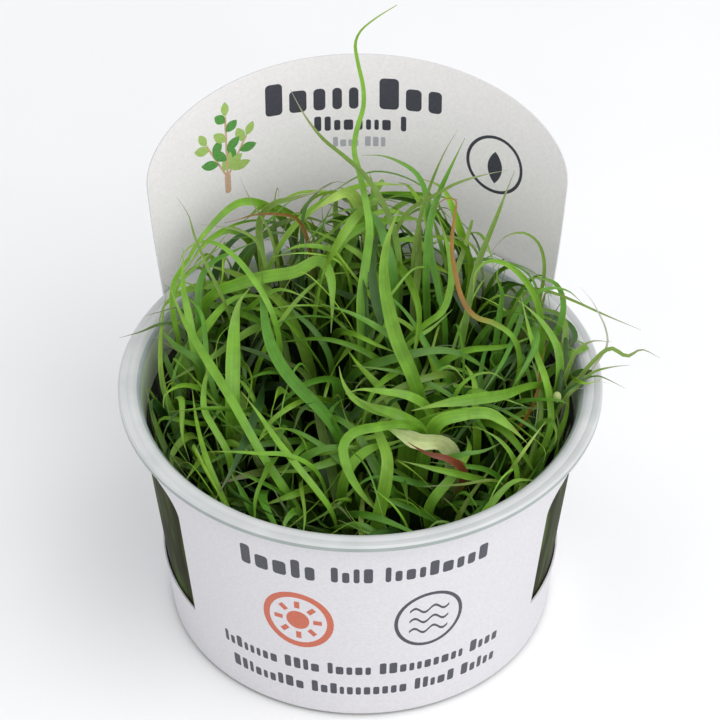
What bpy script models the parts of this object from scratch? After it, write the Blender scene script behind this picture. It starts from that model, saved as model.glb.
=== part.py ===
"""Creeping rush tissue culture cup: a plastic cup in a card sleeve, full of grass-like plantlets.

Metres, +Z up. The origin is the centre of the cup's flat base. -Y is the front of the sleeve
and +Y its tall header.
"""
import math

import bmesh
import bpy
import numpy as np

MM = 0.001

# Cup
RIM_RADIUS = 50.0 * MM
CUP_HEIGHT = 58.0 * MM
FLANGE_INNER_RADIUS = 46.6 * MM
FLANGE_THICKNESS = 0.8 * MM
LIP_DROP = 1.3 * MM
LIP_WIDTH = 0.8 * MM
MOUTH_RADIUS = 45.3 * MM
BASE_RADIUS = 39.9 * MM
WALL = 0.95 * MM
FLOOR = 1.2 * MM
CUP_STEPS = 42

# Gap between pieces that rest on each other
GAP = 0.3 * MM

# Card sleeve
CARD = 0.4 * MM
SLEEVE_BOTTOM = 1.0 * MM
SLEEVE_TOP = 56.4 * MM
SLEEVE_YAW = math.radians(0.9)
SLIT_BOTTOM = 46.0 * MM
SLIT_ANGLE = math.radians(1.2)
WINDOW_BOTTOM = 15.0 * MM
WINDOW_TOPS = {"left": 48.0 * MM, "right": 46.8 * MM}
WINDOW_HALF_ANGLES = {"left": math.radians(34.6), "right": math.radians(33.4)}
WINDOW_CORNER = 4.5 * MM
CUTTER_NEAR = 30.0 * MM
CUTTER_LENGTH = 30.0 * MM

# Header: the rear of the sleeve, flatter and leaning back as it rises
HEADER_HALF_WIDTH = 48.4 * MM
HEADER_SHOULDER = 80.0 * MM
HEADER_TOP = 100.0 * MM
HEADER_RADIUS = 50.35 * MM
FLARE_HEIGHTS = (49.5 * MM, 53.0 * MM, 56.6 * MM)
HEADER_FLATTENING = 0.63
HEADER_LEAN = 0.12

# Nutrient gel and plantlets
GEL_DEPTH = 4.0 * MM
SHOOT_COUNT = 40
SHOOT_SPREAD = 33.5 * MM
CROWN_HEIGHT = 6.0 * MM
CROWN_RADIUS = 2.1 * MM
CROWN_TOP_RADIUS = 1.3 * MM
BLADES_PER_SHOOT = 3
BLADE_KEEL = 0.42
TAPER_START = 0.6
TIP_SHARE = 0.16

# The photograph's viewpoint, used to place the leaves that can be read from it
VIEW_POINT = np.array([0.0, -511.45, 507.94]) * MM
VIEW_TARGET = np.array([-0.05, 0.0, 62.99]) * MM
FOCAL_PIXELS = 3309.5
IMAGE_CENTRE = 360.0

# Leaves read from the photograph, base to tip: width in mm, then pixel x, pixel y and height in mm.
# Each starts where it comes out of the tangle. A crown under it carries it.
LEAVES = {
    "tall_wisp": (2.9, [(363, 335, 66), (360, 300, 71), (366, 262, 76), (373, 228, 81), (369, 200, 86),
                        (358, 172, 90), (352, 150, 93), (356, 130, 96), (365, 106, 100), (364, 88, 103),
                        (357, 60, 109), (354, 42, 113), (359, 31, 116), (375, 18, 118), (397, 5, 120)]),
    "left_wisp": (1.4, [(404, 268, 72), (396, 232, 79), (378, 200, 86), (360, 172, 92), (345, 156, 93),
                        (322, 140, 95), (304, 116, 98), (290, 89, 103)]),
    "centre_broad": (3.2, [(425, 398, 62), (411, 373, 66), (398, 345, 69), (389, 312, 73), (382, 276, 77),
                           (384, 240, 81), (398, 208, 84)]),
    "centre_dark": (2.2, [(401, 300, 66), (393, 270, 73), (387, 243, 77), (379, 215, 81), (352, 205, 83),
                          (330, 214, 81)]),
    "blunt_pale": (2.5, [(372, 214, 83), (352, 184, 88), (334, 197, 87), (310, 213, 83)]),
    "top_arch": (1.6, [(262, 252, 76), (257, 215, 83), (272, 204, 86), (295, 198, 87), (318, 192, 87),
                       (334, 183, 88)]),
    "small_hoop": (1.0, [(300, 232, 79), (303, 209, 83), (316, 192, 86), (335, 180, 88), (349, 184, 87)]),
    "red_tip": (1.0, [(312, 240, 78), (299, 215, 83), (272, 212, 84), (250, 214, 84), (236, 221, 83),
                      (224, 224, 83)]),
    "picture_wisp": (0.8, [(280, 262, 75), (268, 224, 82), (256, 209, 85), (246, 192, 88), (240, 177, 91)]),
    "left_hook": (1.0, [(272, 270, 73), (258, 237, 80), (236, 229, 82), (216, 226, 83), (201, 225, 83)]),
    "left_arc": (1.4, [(193, 296, 69), (201, 276, 72), (211, 261, 75), (230, 253, 77), (258, 240, 80)]),
    "left_spear": (1.1, [(196, 282, 71), (203, 266, 74), (213, 250, 78), (232, 229, 82)]),
    "left_upright": (1.8, [(197, 376, 58), (194, 345, 63), (189, 312, 68), (182, 288, 72), (184, 262, 77),
                           (183, 247, 80)]),
    "left_back_blade": (1.4, [(176, 330, 65), (172, 300, 69), (172, 283, 72), (186, 262, 76),
                              (200, 243, 80), (208, 230, 82)]),
    "left_long": (2.2, [(300, 512, 45), (284, 490, 51), (262, 455, 57), (247, 428, 61), (231, 398, 64),
                        (213, 370, 66), (198, 345, 68), (182, 318, 70), (171, 288, 72)]),
    "folded_left": (2.6, [(197, 303, 66), (214, 293, 69), (240, 283, 71), (268, 277, 72), (296, 275, 73),
                          (322, 254, 76), (331, 272, 74), (333, 302, 70), (331, 333, 65)]),
    "left_broad": (2.5, [(232, 392, 62), (233, 360, 64), (234, 325, 67), (238, 300, 70), (250, 288, 72)]),
    "left_inner_arc": (1.4, [(233, 446, 57), (213, 429, 58), (203, 411, 60), (203, 390, 62),
                             (208, 367, 65), (217, 346, 67)]),
    "long_mid": (2.5, [(346, 434, 59), (322, 411, 62), (298, 388, 64), (279, 364, 66), (267, 338, 68),
                       (262, 300, 72), (262, 266, 76)]),
    "diagonal_mid": (1.3, [(332, 345, 62), (312, 328, 64), (294, 313, 66), (280, 296, 69), (268, 284, 71)]),
    "front_left_long": (1.5, [(336, 503, 51), (314, 488, 54), (294, 465, 57), (276, 440, 60),
                              (258, 412, 62), (241, 391, 64)]),
    "flat_left": (1.3, [(318, 460, 57), (286, 454, 59), (258, 454, 60), (232, 451, 60), (206, 452, 59)]),
    "front_loop": (2.1, [(428, 434, 61), (405, 428, 63), (376, 427, 64), (352, 431, 64), (341, 443, 62),
                         (345, 466, 58), (356, 487, 54), (370, 505, 50), (386, 522, 46)]),
    "front_fork": (2.5, [(338, 497, 49), (345, 478, 54), (353, 461, 57), (369, 447, 60), (392, 436, 60),
                         (414, 431, 59)]),
    "strap_over": (1.9, [(436, 399, 64), (408, 397, 66), (380, 391, 67), (358, 388, 67), (345, 394, 66)]),
    "strap_under": (1.9, [(414, 425, 60), (394, 417, 62), (372, 409, 63), (352, 400, 64), (341, 380, 66),
                          (339, 366, 67)]),
    "right_band": (2.9, [(556, 374, 60), (532, 387, 61), (504, 396, 63), (472, 400, 65), (440, 404, 65),
                         (412, 412, 63)]),
    "right_strap": (2.4, [(404, 424, 61), (436, 418, 63), (466, 412, 64), (490, 411, 64), (506, 423, 61),
                          (528, 443, 57)]),
    "rosette_sheath": (2.9, [(457, 447, 58), (441, 440, 60), (421, 437, 61), (404, 432, 61),
                             (386, 431, 60)]),
    "red_blade": (1.3, [(474, 459, 55), (449, 460, 57), (428, 455, 58), (408, 442, 59)]),
    "rosette_low": (1.3, [(436, 452, 57), (462, 456, 57), (484, 452, 57), (504, 441, 57)]),
    "front_right_long": (1.7, [(518, 491, 50), (490, 483, 53), (460, 474, 55), (430, 468, 57),
                               (402, 461, 58)]),
    "front_right_mid": (1.3, [(514, 478, 51), (488, 468, 54), (462, 462, 55), (430, 462, 56)]),
    "right_hook": (1.1, [(519, 489, 48), (517, 471, 51), (513, 455, 55), (500, 439, 58), (476, 426, 60)]),
    "right_cross": (1.0, [(507, 474, 52), (518, 460, 55), (530, 441, 58), (546, 421, 60)]),
    "front_spark": (1.1, [(468, 519, 45), (454, 507, 49), (441, 496, 52)]),
    "front_low": (1.5, [(450, 519, 46), (420, 508, 49), (392, 498, 51), (370, 491, 52)]),
    "front_left_low": (1.8, [(262, 521, 46), (250, 503, 50), (240, 487, 52), (228, 468, 55)]),
    "far_left_low": (1.7, [(219, 497, 49), (212, 480, 52), (203, 463, 54), (192, 457, 54)]),
    "left_diagonal": (1.3, [(304, 516, 45), (282, 494, 51), (256, 479, 54), (230, 469, 56)]),
    "left_tip_over": (0.9, [(190, 362, 59), (176, 318, 65), (160, 324, 65), (142, 332, 63),
                            (119, 338, 62)]),
    "left_tip_high": (0.8, [(196, 318, 66), (177, 305, 69), (162, 312, 69), (145, 316, 68)]),
    "left_tip_low": (0.9, [(204, 372, 58), (187, 356, 60), (171, 345, 61), (152, 336, 62)]),
    "orange_leaf": (1.9, [(530, 352, 64), (513, 336, 66), (494, 321, 68), (474, 319, 69), (463, 304, 71),
                          (455, 275, 76), (450, 244, 80), (455, 214, 84), (458, 197, 87), (447, 196, 87),
                          (430, 210, 84)]),
    "grey_green_blade": (1.6, [(401, 331, 64), (426, 326, 66), (444, 313, 68), (452, 288, 72),
                               (451, 258, 76), (444, 233, 80), (431, 213, 82)]),
    "second_strap": (1.3, [(392, 352, 61), (412, 341, 63), (432, 329, 64), (453, 309, 67)]),
    "brown_upright": (1.8, [(411, 328, 60), (413, 298, 67), (418, 264, 73), (422, 234, 78),
                            (426, 206, 83)]),
    "mid_upright": (1.4, [(447, 313, 65), (437, 288, 69), (431, 260, 74), (427, 228, 79), (428, 196, 85),
                          (419, 173, 89), (401, 162, 92), (381, 154, 93), (361, 156, 93)]),
    "right_spear": (1.5, [(420, 262, 74), (430, 220, 81), (439, 193, 86), (449, 171, 90), (465, 138, 96)]),
    "olive_spear": (0.9, [(412, 250, 76), (424, 214, 83), (434, 178, 89), (444, 152, 94), (458, 129, 98)]),
    "long_olive": (0.9, [(388, 232, 79), (406, 210, 83), (430, 196, 86), (456, 182, 88), (482, 175, 89),
                         (508, 170, 89)]),
    "right_upright": (1.3, [(466, 322, 66), (471, 290, 71), (476, 268, 75), (486, 243, 80), (496, 219, 84),
                            (506, 192, 87), (515, 170, 90)]),
    "right_arch": (1.4, [(549, 344, 62), (539, 308, 69), (525, 277, 75), (506, 262, 78), (487, 259, 79),
                         (474, 270, 77), (473, 292, 73)]),
    "right_inner": (1.4, [(498, 338, 61), (499, 312, 66), (505, 292, 70), (494, 276, 74),
                          (500, 262, 77)]),
    "right_shoulder": (1.5, [(556, 338, 61), (563, 318, 65), (564, 296, 69), (557, 282, 72),
                             (540, 277, 74), (522, 279, 74)]),
    "right_slope": (1.7, [(566, 372, 60), (558, 348, 63), (548, 328, 66), (534, 312, 69), (518, 300, 71)]),
    "straight_right": (1.1, [(512, 300, 69), (530, 286, 72), (552, 292, 71), (575, 301, 70),
                             (602, 314, 68), (641, 330, 65)]),
    "thin_hoop": (0.8, [(546, 290, 71), (545, 260, 77), (539, 240, 81), (524, 231, 83), (506, 233, 83),
                        (489, 254, 78)]),
    "rim_curl": (1.1, [(572, 380, 60), (570, 362, 62), (577, 349, 64), (591, 339, 65), (612, 342, 64)]),
    "rim_zigzag": (0.9, [(575, 378, 60), (592, 363, 62), (611, 343, 65), (627, 358, 62), (641, 348, 63),
                         (660, 357, 61)]),
    "rim_level": (0.9, [(570, 386, 59), (592, 371, 61), (612, 367, 62), (631, 365, 62)]),
    "rim_tail": (0.7, [(574, 381, 60), (596, 372, 61), (611, 381, 60), (626, 389, 60)]),
    "wall_bright": (1.6, [(553, 452, 48), (564, 424, 52), (569, 399, 56), (567, 382, 59)]),
    "wall_second": (1.4, [(545, 456, 49), (551, 430, 53), (551, 405, 57), (543, 380, 61), (533, 354, 64),
                          (527, 322, 68), (521, 296, 72)]),
    "wall_orange": (0.9, [(538, 412, 57), (540, 388, 60), (541, 364, 62), (547, 343, 65)]),
    "arc_in_gap": (1.0, [(453, 399, 61), (460, 384, 63), (476, 373, 65), (493, 371, 65), (506, 381, 63)]),
    "curl_in_gap": (0.8, [(516, 384, 58), (500, 374, 60), (488, 360, 62), (491, 350, 63), (514, 355, 61)]),
}
# How far leaves may shift sideways, and the shape of the tangle's top
HAND_READ_SLACK = 0.3
HEAP_FRONT = 50.0 * MM
HEAP_SLOPE = 0.28
FILLER_SPREAD = 41.0 * MM
SETTLE_ROUNDS = 400


def clear_scene():
    """Remove every object, so that the file holds only the model."""
    for obj in list(bpy.data.objects):
        bpy.data.objects.remove(obj, do_unlink=True)


def new_collection(name):
    group = bpy.data.collections.new(name)
    bpy.context.scene.collection.children.link(group)
    return group


def link_mesh(name, mesh, group):
    obj = bpy.data.objects.new(name, mesh)
    group.objects.link(obj)
    return obj


def paint(obj, colour, roughness, metallic=0.0, alpha=1.0):
    """Give an object its own plain Principled material."""
    material = bpy.data.materials.new(obj.name)
    material.use_nodes = True
    shader = material.node_tree.nodes["Principled BSDF"]
    shader.inputs["Base Color"].default_value = (*colour, 1.0)
    shader.inputs["Roughness"].default_value = roughness
    shader.inputs["Metallic"].default_value = metallic
    shader.inputs["Alpha"].default_value = alpha
    obj.data.materials.append(material)


def shade_round(obj, angle=35.0):
    obj.data.shade_smooth()
    obj.data.set_sharp_from_angle(angle=math.radians(angle))


# Cup

def outer_wall_radius(z):
    """Outer radius of the cup's tapered wall at a height."""
    return BASE_RADIUS + (MOUTH_RADIUS + WALL - BASE_RADIUS) * z / CUP_HEIGHT


def inner_wall_radius(z):
    return outer_wall_radius(z) - WALL


def cup_profile():
    """Half section of the cup: inside floor to rim, then down the outside to the base."""
    flange_under = CUP_HEIGHT - FLANGE_THICKNESS
    fillet = 1.3 * MM
    shoulder = 1.3 * MM
    return [
        (0.0, FLOOR),
        (inner_wall_radius(FLOOR) - fillet, FLOOR),
        (inner_wall_radius(FLOOR + fillet), FLOOR + fillet),
        (inner_wall_radius(CUP_HEIGHT - shoulder), CUP_HEIGHT - shoulder),
        (FLANGE_INNER_RADIUS - 0.6 * MM, CUP_HEIGHT - 0.3 * MM),
        (FLANGE_INNER_RADIUS, CUP_HEIGHT),
        (RIM_RADIUS - 0.4 * MM, CUP_HEIGHT),
        (RIM_RADIUS, CUP_HEIGHT - 0.4 * MM),
        (RIM_RADIUS, CUP_HEIGHT - LIP_DROP),
        (RIM_RADIUS - LIP_WIDTH, CUP_HEIGHT - LIP_DROP),
        (RIM_RADIUS - LIP_WIDTH, flange_under),
        (outer_wall_radius(flange_under), flange_under),
        (outer_wall_radius(fillet), fillet),
        (BASE_RADIUS - fillet, 0.0),
        (0.0, 0.0),
    ]


def make_cup(group):
    mesh = bpy.data.meshes.new("cup")
    bm = bmesh.new()
    corners = [bm.verts.new((r, 0.0, z)) for r, z in cup_profile()]
    for start, end in zip(corners, corners[1:]):
        bm.edges.new((start, end))
    bm.to_mesh(mesh)
    bm.free()
    cup = link_mesh("cup", mesh, group)
    turn = cup.modifiers.new("turn", "SCREW")
    turn.axis = "Z"
    turn.steps = CUP_STEPS
    turn.render_steps = CUP_STEPS
    turn.use_merge_vertices = True
    turn.merge_threshold = 0.00001
    shade_round(cup)
    paint(cup, (0.62, 0.66, 0.66), 0.35, alpha=0.5)


# Card sleeve

def header_point(width, z):
    """Point on the header's inner face: arc length from its middle line, and height."""
    rise = z - CUP_HEIGHT
    radius = HEADER_RADIUS + HEADER_FLATTENING * max(rise, 0.0)
    middle = HEADER_RADIUS + HEADER_LEAN * max(rise, 0.0)
    angle = width / radius
    return radius * math.sin(angle), middle - radius * (1.0 - math.cos(angle))


def card_radius(z):
    """Inner radius of the wrapped card, clear of the cup's wall."""
    return outer_wall_radius(z) + GAP


def ease(t):
    t = min(max(t, 0.0), 1.0)
    return t * t * (3.0 - 2.0 * t)


def tab_point(width, z):
    """Point on the rear card: it follows the cup's wall, then swells out behind the rim."""
    swell = ease((z - SLIT_BOTTOM) / (CUP_HEIGHT - 1.6 * MM - SLIT_BOTTOM))
    radius = card_radius(z) + (HEADER_RADIUS - card_radius(z)) * swell
    angle = width / HEADER_RADIUS
    return radius * math.sin(angle), radius * math.cos(angle)


def header_widths():
    """Column positions across the header, closer together where its shoulders round off."""
    columns = 20
    turns = [math.pi * (i / columns - 0.5) for i in range(columns + 1)]
    return [HEADER_HALF_WIDTH * math.sin(turn) for turn in turns]


def header_edge(width):
    """Height of the header's rounded top edge."""
    round_off = math.sqrt(max(0.0, 1.0 - (width / HEADER_HALF_WIDTH) ** 2))
    return HEADER_SHOULDER + (HEADER_TOP - HEADER_SHOULDER) * round_off


def band_angles():
    """Angles of the card's columns from one slit round the front to the other."""
    edge = math.pi - HEADER_HALF_WIDTH / HEADER_RADIUS - SLIT_ANGLE
    columns = 28
    return [edge * (2.0 * i / columns - 1.0) for i in range(columns + 1)]


def quad_strip(bm, columns):
    """Faces between neighbouring columns of points."""
    for left, right in zip(columns, columns[1:]):
        for i in range(len(left) - 1):
            bm.faces.new((left[i], right[i], right[i + 1], left[i + 1]))


def sleeve_surface():
    """The card's inner face: front band, rear panel and header, joined below the slits."""
    bm = bmesh.new()
    band = []
    for angle in band_angles():
        column = []
        for z in (SLEEVE_BOTTOM, SLIT_BOTTOM, SLEEVE_TOP):
            radius = card_radius(z)
            place = (radius * math.sin(angle), -radius * math.cos(angle), z)
            column.append(bm.verts.new(place))
        band.append(column)
    rear = []
    for width in header_widths():
        column = []
        for z in (SLEEVE_BOTTOM, SLIT_BOTTOM, *FLARE_HEIGHTS):
            column.append(bm.verts.new((*tab_point(width, z), z)))
        top = header_edge(width)
        for share in (0.5, 1.0):
            z = CUP_HEIGHT + (top - CUP_HEIGHT) * share
            column.append(bm.verts.new((*header_point(width, z), z)))
        rear.append(column)
    quad_strip(bm, band)
    quad_strip(bm, list(reversed(rear)))
    quad_strip(bm, [band[-1][:2], rear[-1][:2]])
    quad_strip(bm, [rear[0][:2], band[0][:2]])
    return bm


def window_cutter(side, group):
    """Prism through one side of the card: square lower corners and rounded upper ones."""
    sign = -1.0 if side == "left" else 1.0
    top = WINDOW_TOPS[side]
    low = card_radius(WINDOW_BOTTOM) * math.sin(WINDOW_HALF_ANGLES[side])
    high = card_radius(top) * math.sin(WINDOW_HALF_ANGLES[side])
    outline = [(-low, WINDOW_BOTTOM), (low, WINDOW_BOTTOM)]
    for step in range(5):
        turn = math.radians(22.5 * step)
        outline.append((high - WINDOW_CORNER * (1.0 - math.cos(turn)),
                        top - WINDOW_CORNER * (1.0 - math.sin(turn))))
    outline += [(-y, z) for y, z in reversed(outline[2:])]
    bm = bmesh.new()
    face = bm.faces.new([bm.verts.new((sign * CUTTER_NEAR, y, z)) for y, z in outline])
    grown = bmesh.ops.extrude_face_region(bm, geom=[face])["geom"]
    moved = [v for v in grown if isinstance(v, bmesh.types.BMVert)]
    bmesh.ops.translate(bm, verts=moved, vec=(sign * CUTTER_LENGTH, 0.0, 0.0))
    bmesh.ops.recalc_face_normals(bm, faces=bm.faces)
    mesh = bpy.data.meshes.new("window_" + side)
    bm.to_mesh(mesh)
    bm.free()
    cutter = link_mesh("window_" + side, mesh, group)
    cutter.hide_render = True
    cutter.display_type = "WIRE"
    cutter.rotation_euler.z = SLEEVE_YAW
    return cutter


def make_sleeve(group, cutters):
    mesh = bpy.data.meshes.new("sleeve")
    bm = sleeve_surface()
    bm.to_mesh(mesh)
    bm.free()
    sleeve = link_mesh("sleeve", mesh, group)
    sleeve.rotation_euler.z = SLEEVE_YAW
    thick = sleeve.modifiers.new("card", "SOLIDIFY")
    thick.thickness = CARD
    thick.offset = 1.0
    for side in WINDOW_TOPS:
        cut = sleeve.modifiers.new("window_" + side, "BOOLEAN")
        cut.operation = "DIFFERENCE"
        cut.object = window_cutter(side, cutters)
    shade_round(sleeve)
    paint(sleeve, (0.79, 0.78, 0.81), 0.55)


# Nutrient gel

def make_gel(group):
    bottom = FLOOR + GAP
    top = bottom + GEL_DEPTH
    bm = bmesh.new()
    bmesh.ops.create_cone(bm, cap_ends=True, segments=32, depth=GEL_DEPTH,
                          radius1=inner_wall_radius(bottom) - 1.4 * MM,
                          radius2=inner_wall_radius(top) - 2.0 * GAP)
    mesh = bpy.data.meshes.new("growth_gel")
    bm.to_mesh(mesh)
    bm.free()
    gel = link_mesh("growth_gel", mesh, group)
    gel.location.z = (bottom + top) / 2.0
    shade_round(gel)
    paint(gel, (0.23, 0.21, 0.12), 0.25)


# Leaf routes

def view_axes():
    forward = VIEW_TARGET - VIEW_POINT
    forward /= np.linalg.norm(forward)
    right = np.cross(forward, (0.0, 0.0, 1.0))
    right /= np.linalg.norm(right)
    return forward, right, np.cross(right, forward)


def view_ray(px, py):
    """Direction from the viewpoint through a pixel of the photograph."""
    forward, right, up = view_axes()
    ray = forward + right * (px - IMAGE_CENTRE) / FOCAL_PIXELS + up * (IMAGE_CENTRE - py) / FOCAL_PIXELS
    return ray / np.linalg.norm(ray)


def seen_point(px, py, height):
    """Point at a height, in mm, that is seen at a pixel of the photograph."""
    ray = view_ray(px, py)
    return VIEW_POINT + ray * (height * MM - VIEW_POINT[2]) / ray[2]


def crown_place(index):
    """Crowns stand in a sunflower spiral, which spaces them evenly."""
    golden_turn = math.pi * (3.0 - math.sqrt(5.0))
    reach = SHOOT_SPREAD * math.sqrt((index + 0.5) / SHOOT_COUNT)
    turn = index * golden_turn
    return np.array([reach * math.cos(turn), reach * math.sin(turn), FLOOR + 2.0 * GAP + GEL_DEPTH])


def crown_roots(index, target):
    """First two points of a blade: inside the crown, and just above it."""
    foot = crown_place(index)
    away = target[:2] - foot[:2]
    away = away / max(np.linalg.norm(away), 1e-6)
    inside = foot + (*(away * 0.5 * MM), 0.45 * CROWN_HEIGHT)
    above = foot + (*(away * 0.9 * MM), CROWN_HEIGHT + 1.6 * MM)
    return inside, above


def nearest_free_crown(point, used):
    """The crown closest under a point that still has room for a blade."""
    free = [i for i in range(SHOOT_COUNT) if used[i] < BLADES_PER_SHOOT]
    return min(free, key=lambda i: np.linalg.norm(crown_place(i)[:2] - 0.8 * point[:2]))


class Blade:
    """One leaf blade: the shoot it grows from, its width and its route."""

    def __init__(self, shoot, width, points, rays, slack):
        self.shoot = shoot
        self.width = width
        self.points = np.array(points)
        self.rays = np.array(rays)
        self.slack = np.array(slack)


def read_blade(width, pixels, used):
    """A blade along a route read from the photograph, carried down to a crown."""
    seen = [seen_point(*pixel) for pixel in pixels]
    shoot = nearest_free_crown(seen[0], used)
    used[shoot] += 1
    inside, above = crown_roots(shoot, seen[0])
    middle = above + (seen[0] - above) * (0.4, 0.4, 0.55)
    rays = [np.zeros(3)] * 3 + [view_ray(px, py) for px, py, height in pixels]
    slack = [0.0, 0.0, 1.0] + [HAND_READ_SLACK] * len(pixels)
    return Blade(shoot, width * MM, [inside, above, middle, *seen], rays, slack)


def heap_height(x, y):
    """Height of the tangle of leaves, which rises towards the header."""
    return HEAP_FRONT + HEAP_SLOPE * (y + MOUTH_RADIUS)


def pull_in(spot):
    """A place moved towards the cup's axis if it is too near the wall."""
    return spot * min(1.0, FILLER_SPREAD / np.linalg.norm(spot))


def filler_blade(shoot, draw):
    """A blade that rises from its crown and bends over under the top of the tangle."""
    foot = crown_place(shoot)
    outward = math.atan2(foot[1], foot[0])
    turn = outward + draw.uniform(-1.9, 1.9)
    lean = np.array([math.cos(turn), math.sin(turn)])
    reach = draw.uniform(8.0, 22.0) * MM
    inside, above = crown_roots(shoot, foot + (*lean, 0.0))
    bend = pull_in(foot[:2] + lean * reach)
    top = heap_height(*bend) - draw.uniform(2.0, 13.0) * MM
    sweep = turn + draw.uniform(-1.1, 1.1)
    tip = pull_in(bend + np.array([math.cos(sweep), math.sin(sweep)]) * draw.uniform(12.0, 24.0) * MM)
    points = [inside, above]
    for share, rise in ((0.2, 0.4), (0.55, 0.75), (1.0, 1.0)):
        spot = foot[:2] + (bend - foot[:2]) * share
        points.append(np.array([*spot, above[2] + (top - above[2]) * rise]))
    points.append(np.array([*tip, top - draw.uniform(-3.0, 7.0) * MM]))
    width = draw.uniform(1.4, 2.4) * MM
    return Blade(shoot, width, points, [np.zeros(3)] * 6, [0.0, 0.0, 1.0, 1.0, 1.0, 1.0])


def plan_blades():
    used = [0] * SHOOT_COUNT
    blades = [read_blade(width, pixels, used) for width, pixels in LEAVES.values()]
    draw = np.random.default_rng(7)
    for shoot in range(SHOOT_COUNT):
        for _ in range(BLADES_PER_SHOOT - used[shoot]):
            blades.append(filler_blade(shoot, draw))
    return blades


def closest_on_segments(start_a, end_a, start_b, end_b):
    """Where each pair of segments comes closest, as shares along the two."""
    along_a = end_a - start_a
    along_b = end_b - start_b
    apart = start_a - start_b
    aa = np.einsum("ij,ij->i", along_a, along_a)
    bb = np.einsum("ij,ij->i", along_b, along_b)
    ab = np.einsum("ij,ij->i", along_a, along_b)
    ac = np.einsum("ij,ij->i", along_a, apart)
    bc = np.einsum("ij,ij->i", along_b, apart)
    spread = np.maximum(aa * bb - ab * ab, 1e-18)
    share_a = np.clip((ab * bc - ac * bb) / spread, 0.0, 1.0)
    share_b = np.clip((ab * share_a + bc) / bb, 0.0, 1.0)
    share_a = np.clip((ab * share_b - ac) / aa, 0.0, 1.0)
    return share_a, share_b


def keep_in_cup(points, half_widths):
    """Hold every point inside the wall, over the rim, above the gel and before the header."""
    reach = np.hypot(points[:, 0], points[:, 1])
    room = inner_wall_radius(np.minimum(points[:, 2], CUP_HEIGHT)) - half_widths - 2.0 * GAP
    low = points[:, 2] < CUP_HEIGHT + half_widths
    inside = low & (reach > room) & (reach < MOUTH_RADIUS + 1.5 * MM)
    points[inside, :2] *= (room[inside] / reach[inside])[:, None]
    over = low & (reach >= MOUTH_RADIUS + 1.5 * MM)
    points[over, 2] = CUP_HEIGHT + half_widths[over] + GAP
    rise = np.maximum(points[:, 2] - CUP_HEIGHT, 0.0)
    radius = HEADER_RADIUS + HEADER_FLATTENING * rise
    axis_y = HEADER_RADIUS + HEADER_LEAN * rise - radius
    out = np.hypot(points[:, 0], points[:, 1] - axis_y)
    room = radius - half_widths - 3.0 * GAP
    near = (points[:, 1] > 20.0 * MM) & (out > room) & (points[:, 2] < HEADER_TOP)
    points[near, 0] *= room[near] / out[near]
    points[near, 1] = axis_y[near] + (points[near, 1] - axis_y[near]) * room[near] / out[near]


def settle(blades):
    """Push blades of different shoots apart until none touch, moving hand-read points along the view."""
    points = np.concatenate([blade.points for blade in blades])
    rays = np.concatenate([blade.rays for blade in blades])
    slack = np.concatenate([blade.slack for blade in blades])[:, None]
    half = np.concatenate([np.full(len(blade.points), blade.width / 2.0) for blade in blades])
    owner = np.concatenate([np.full(len(blade.points), i) for i, blade in enumerate(blades)])
    shoot = np.array([blade.shoot for blade in blades])[owner]
    first = np.flatnonzero(owner[:-1] == owner[1:])
    one, two = np.triu_indices(len(first), 1)
    other = shoot[first[one]] != shoot[first[two]]
    one, two = first[one[other]], first[two[other]]
    need = half[one] + half[two] + 1.6 * GAP
    for _ in range(SETTLE_ROUNDS):
        length = np.linalg.norm(points[1:] - points[:-1], axis=1)
        centre = (points[1:] + points[:-1]) / 2.0
        gap = np.linalg.norm(centre[one] - centre[two], axis=1) - (length[one] + length[two]) / 2.0
        close = gap < need
        a, b = one[close], two[close]
        share_a, share_b = closest_on_segments(points[a], points[a + 1], points[b], points[b + 1])
        spot_a = points[a] + (points[a + 1] - points[a]) * share_a[:, None]
        spot_b = points[b] + (points[b + 1] - points[b]) * share_b[:, None]
        apart = spot_a - spot_b
        distance = np.linalg.norm(apart, axis=1)
        short = need[close] - distance
        hit = short > 0.0
        if not hit.any():
            break
        push = apart[hit] / np.maximum(distance[hit], 1e-9)[:, None] * (short[hit] * 0.6)[:, None]
        move = np.zeros_like(points)
        for node, share, way in ((a, 1.0 - share_a, 1.0), (a + 1, share_a, 1.0),
                                 (b, 1.0 - share_b, -1.0), (b + 1, share_b, -1.0)):
            np.add.at(move, node[hit], way * push * share[hit][:, None])
        along = rays * np.einsum("ij,ij->i", move, rays)[:, None]
        points += slack * move + (1.0 - slack) * along
        keep_in_cup(points, half)
    ends = np.cumsum([len(blade.points) for blade in blades])[:-1]
    for blade, route in zip(blades, np.split(points, ends)):
        blade.points = route


# Plantlets

def keel_profile(group):
    """Section of a blade, one unit wide: flat above, with a keel below."""
    curve = bpy.data.curves.new("blade_section", "CURVE")
    curve.dimensions = "2D"
    spline = curve.splines.new("POLY")
    corners = ((-0.5, 0.0), (0.0, -BLADE_KEEL), (0.5, 0.0))
    spline.points.add(len(corners) - 1)
    for point, (x, y) in zip(spline.points, corners):
        point.co = (x, y, 0.0, 1.0)
    spline.use_cyclic_u = True
    section = bpy.data.objects.new("blade_section", curve)
    section.hide_render = True
    group.objects.link(section)
    return section


def taper(share):
    """Width of a blade along its length, as a share of its widest."""
    towards_tip = max(0.0, share - TAPER_START) / (1.0 - TAPER_START)
    return max(TIP_SHARE, min(1.0, 0.8 + share) * (1.0 - (1.0 - TIP_SHARE) * towards_tip ** 1.3))


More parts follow.
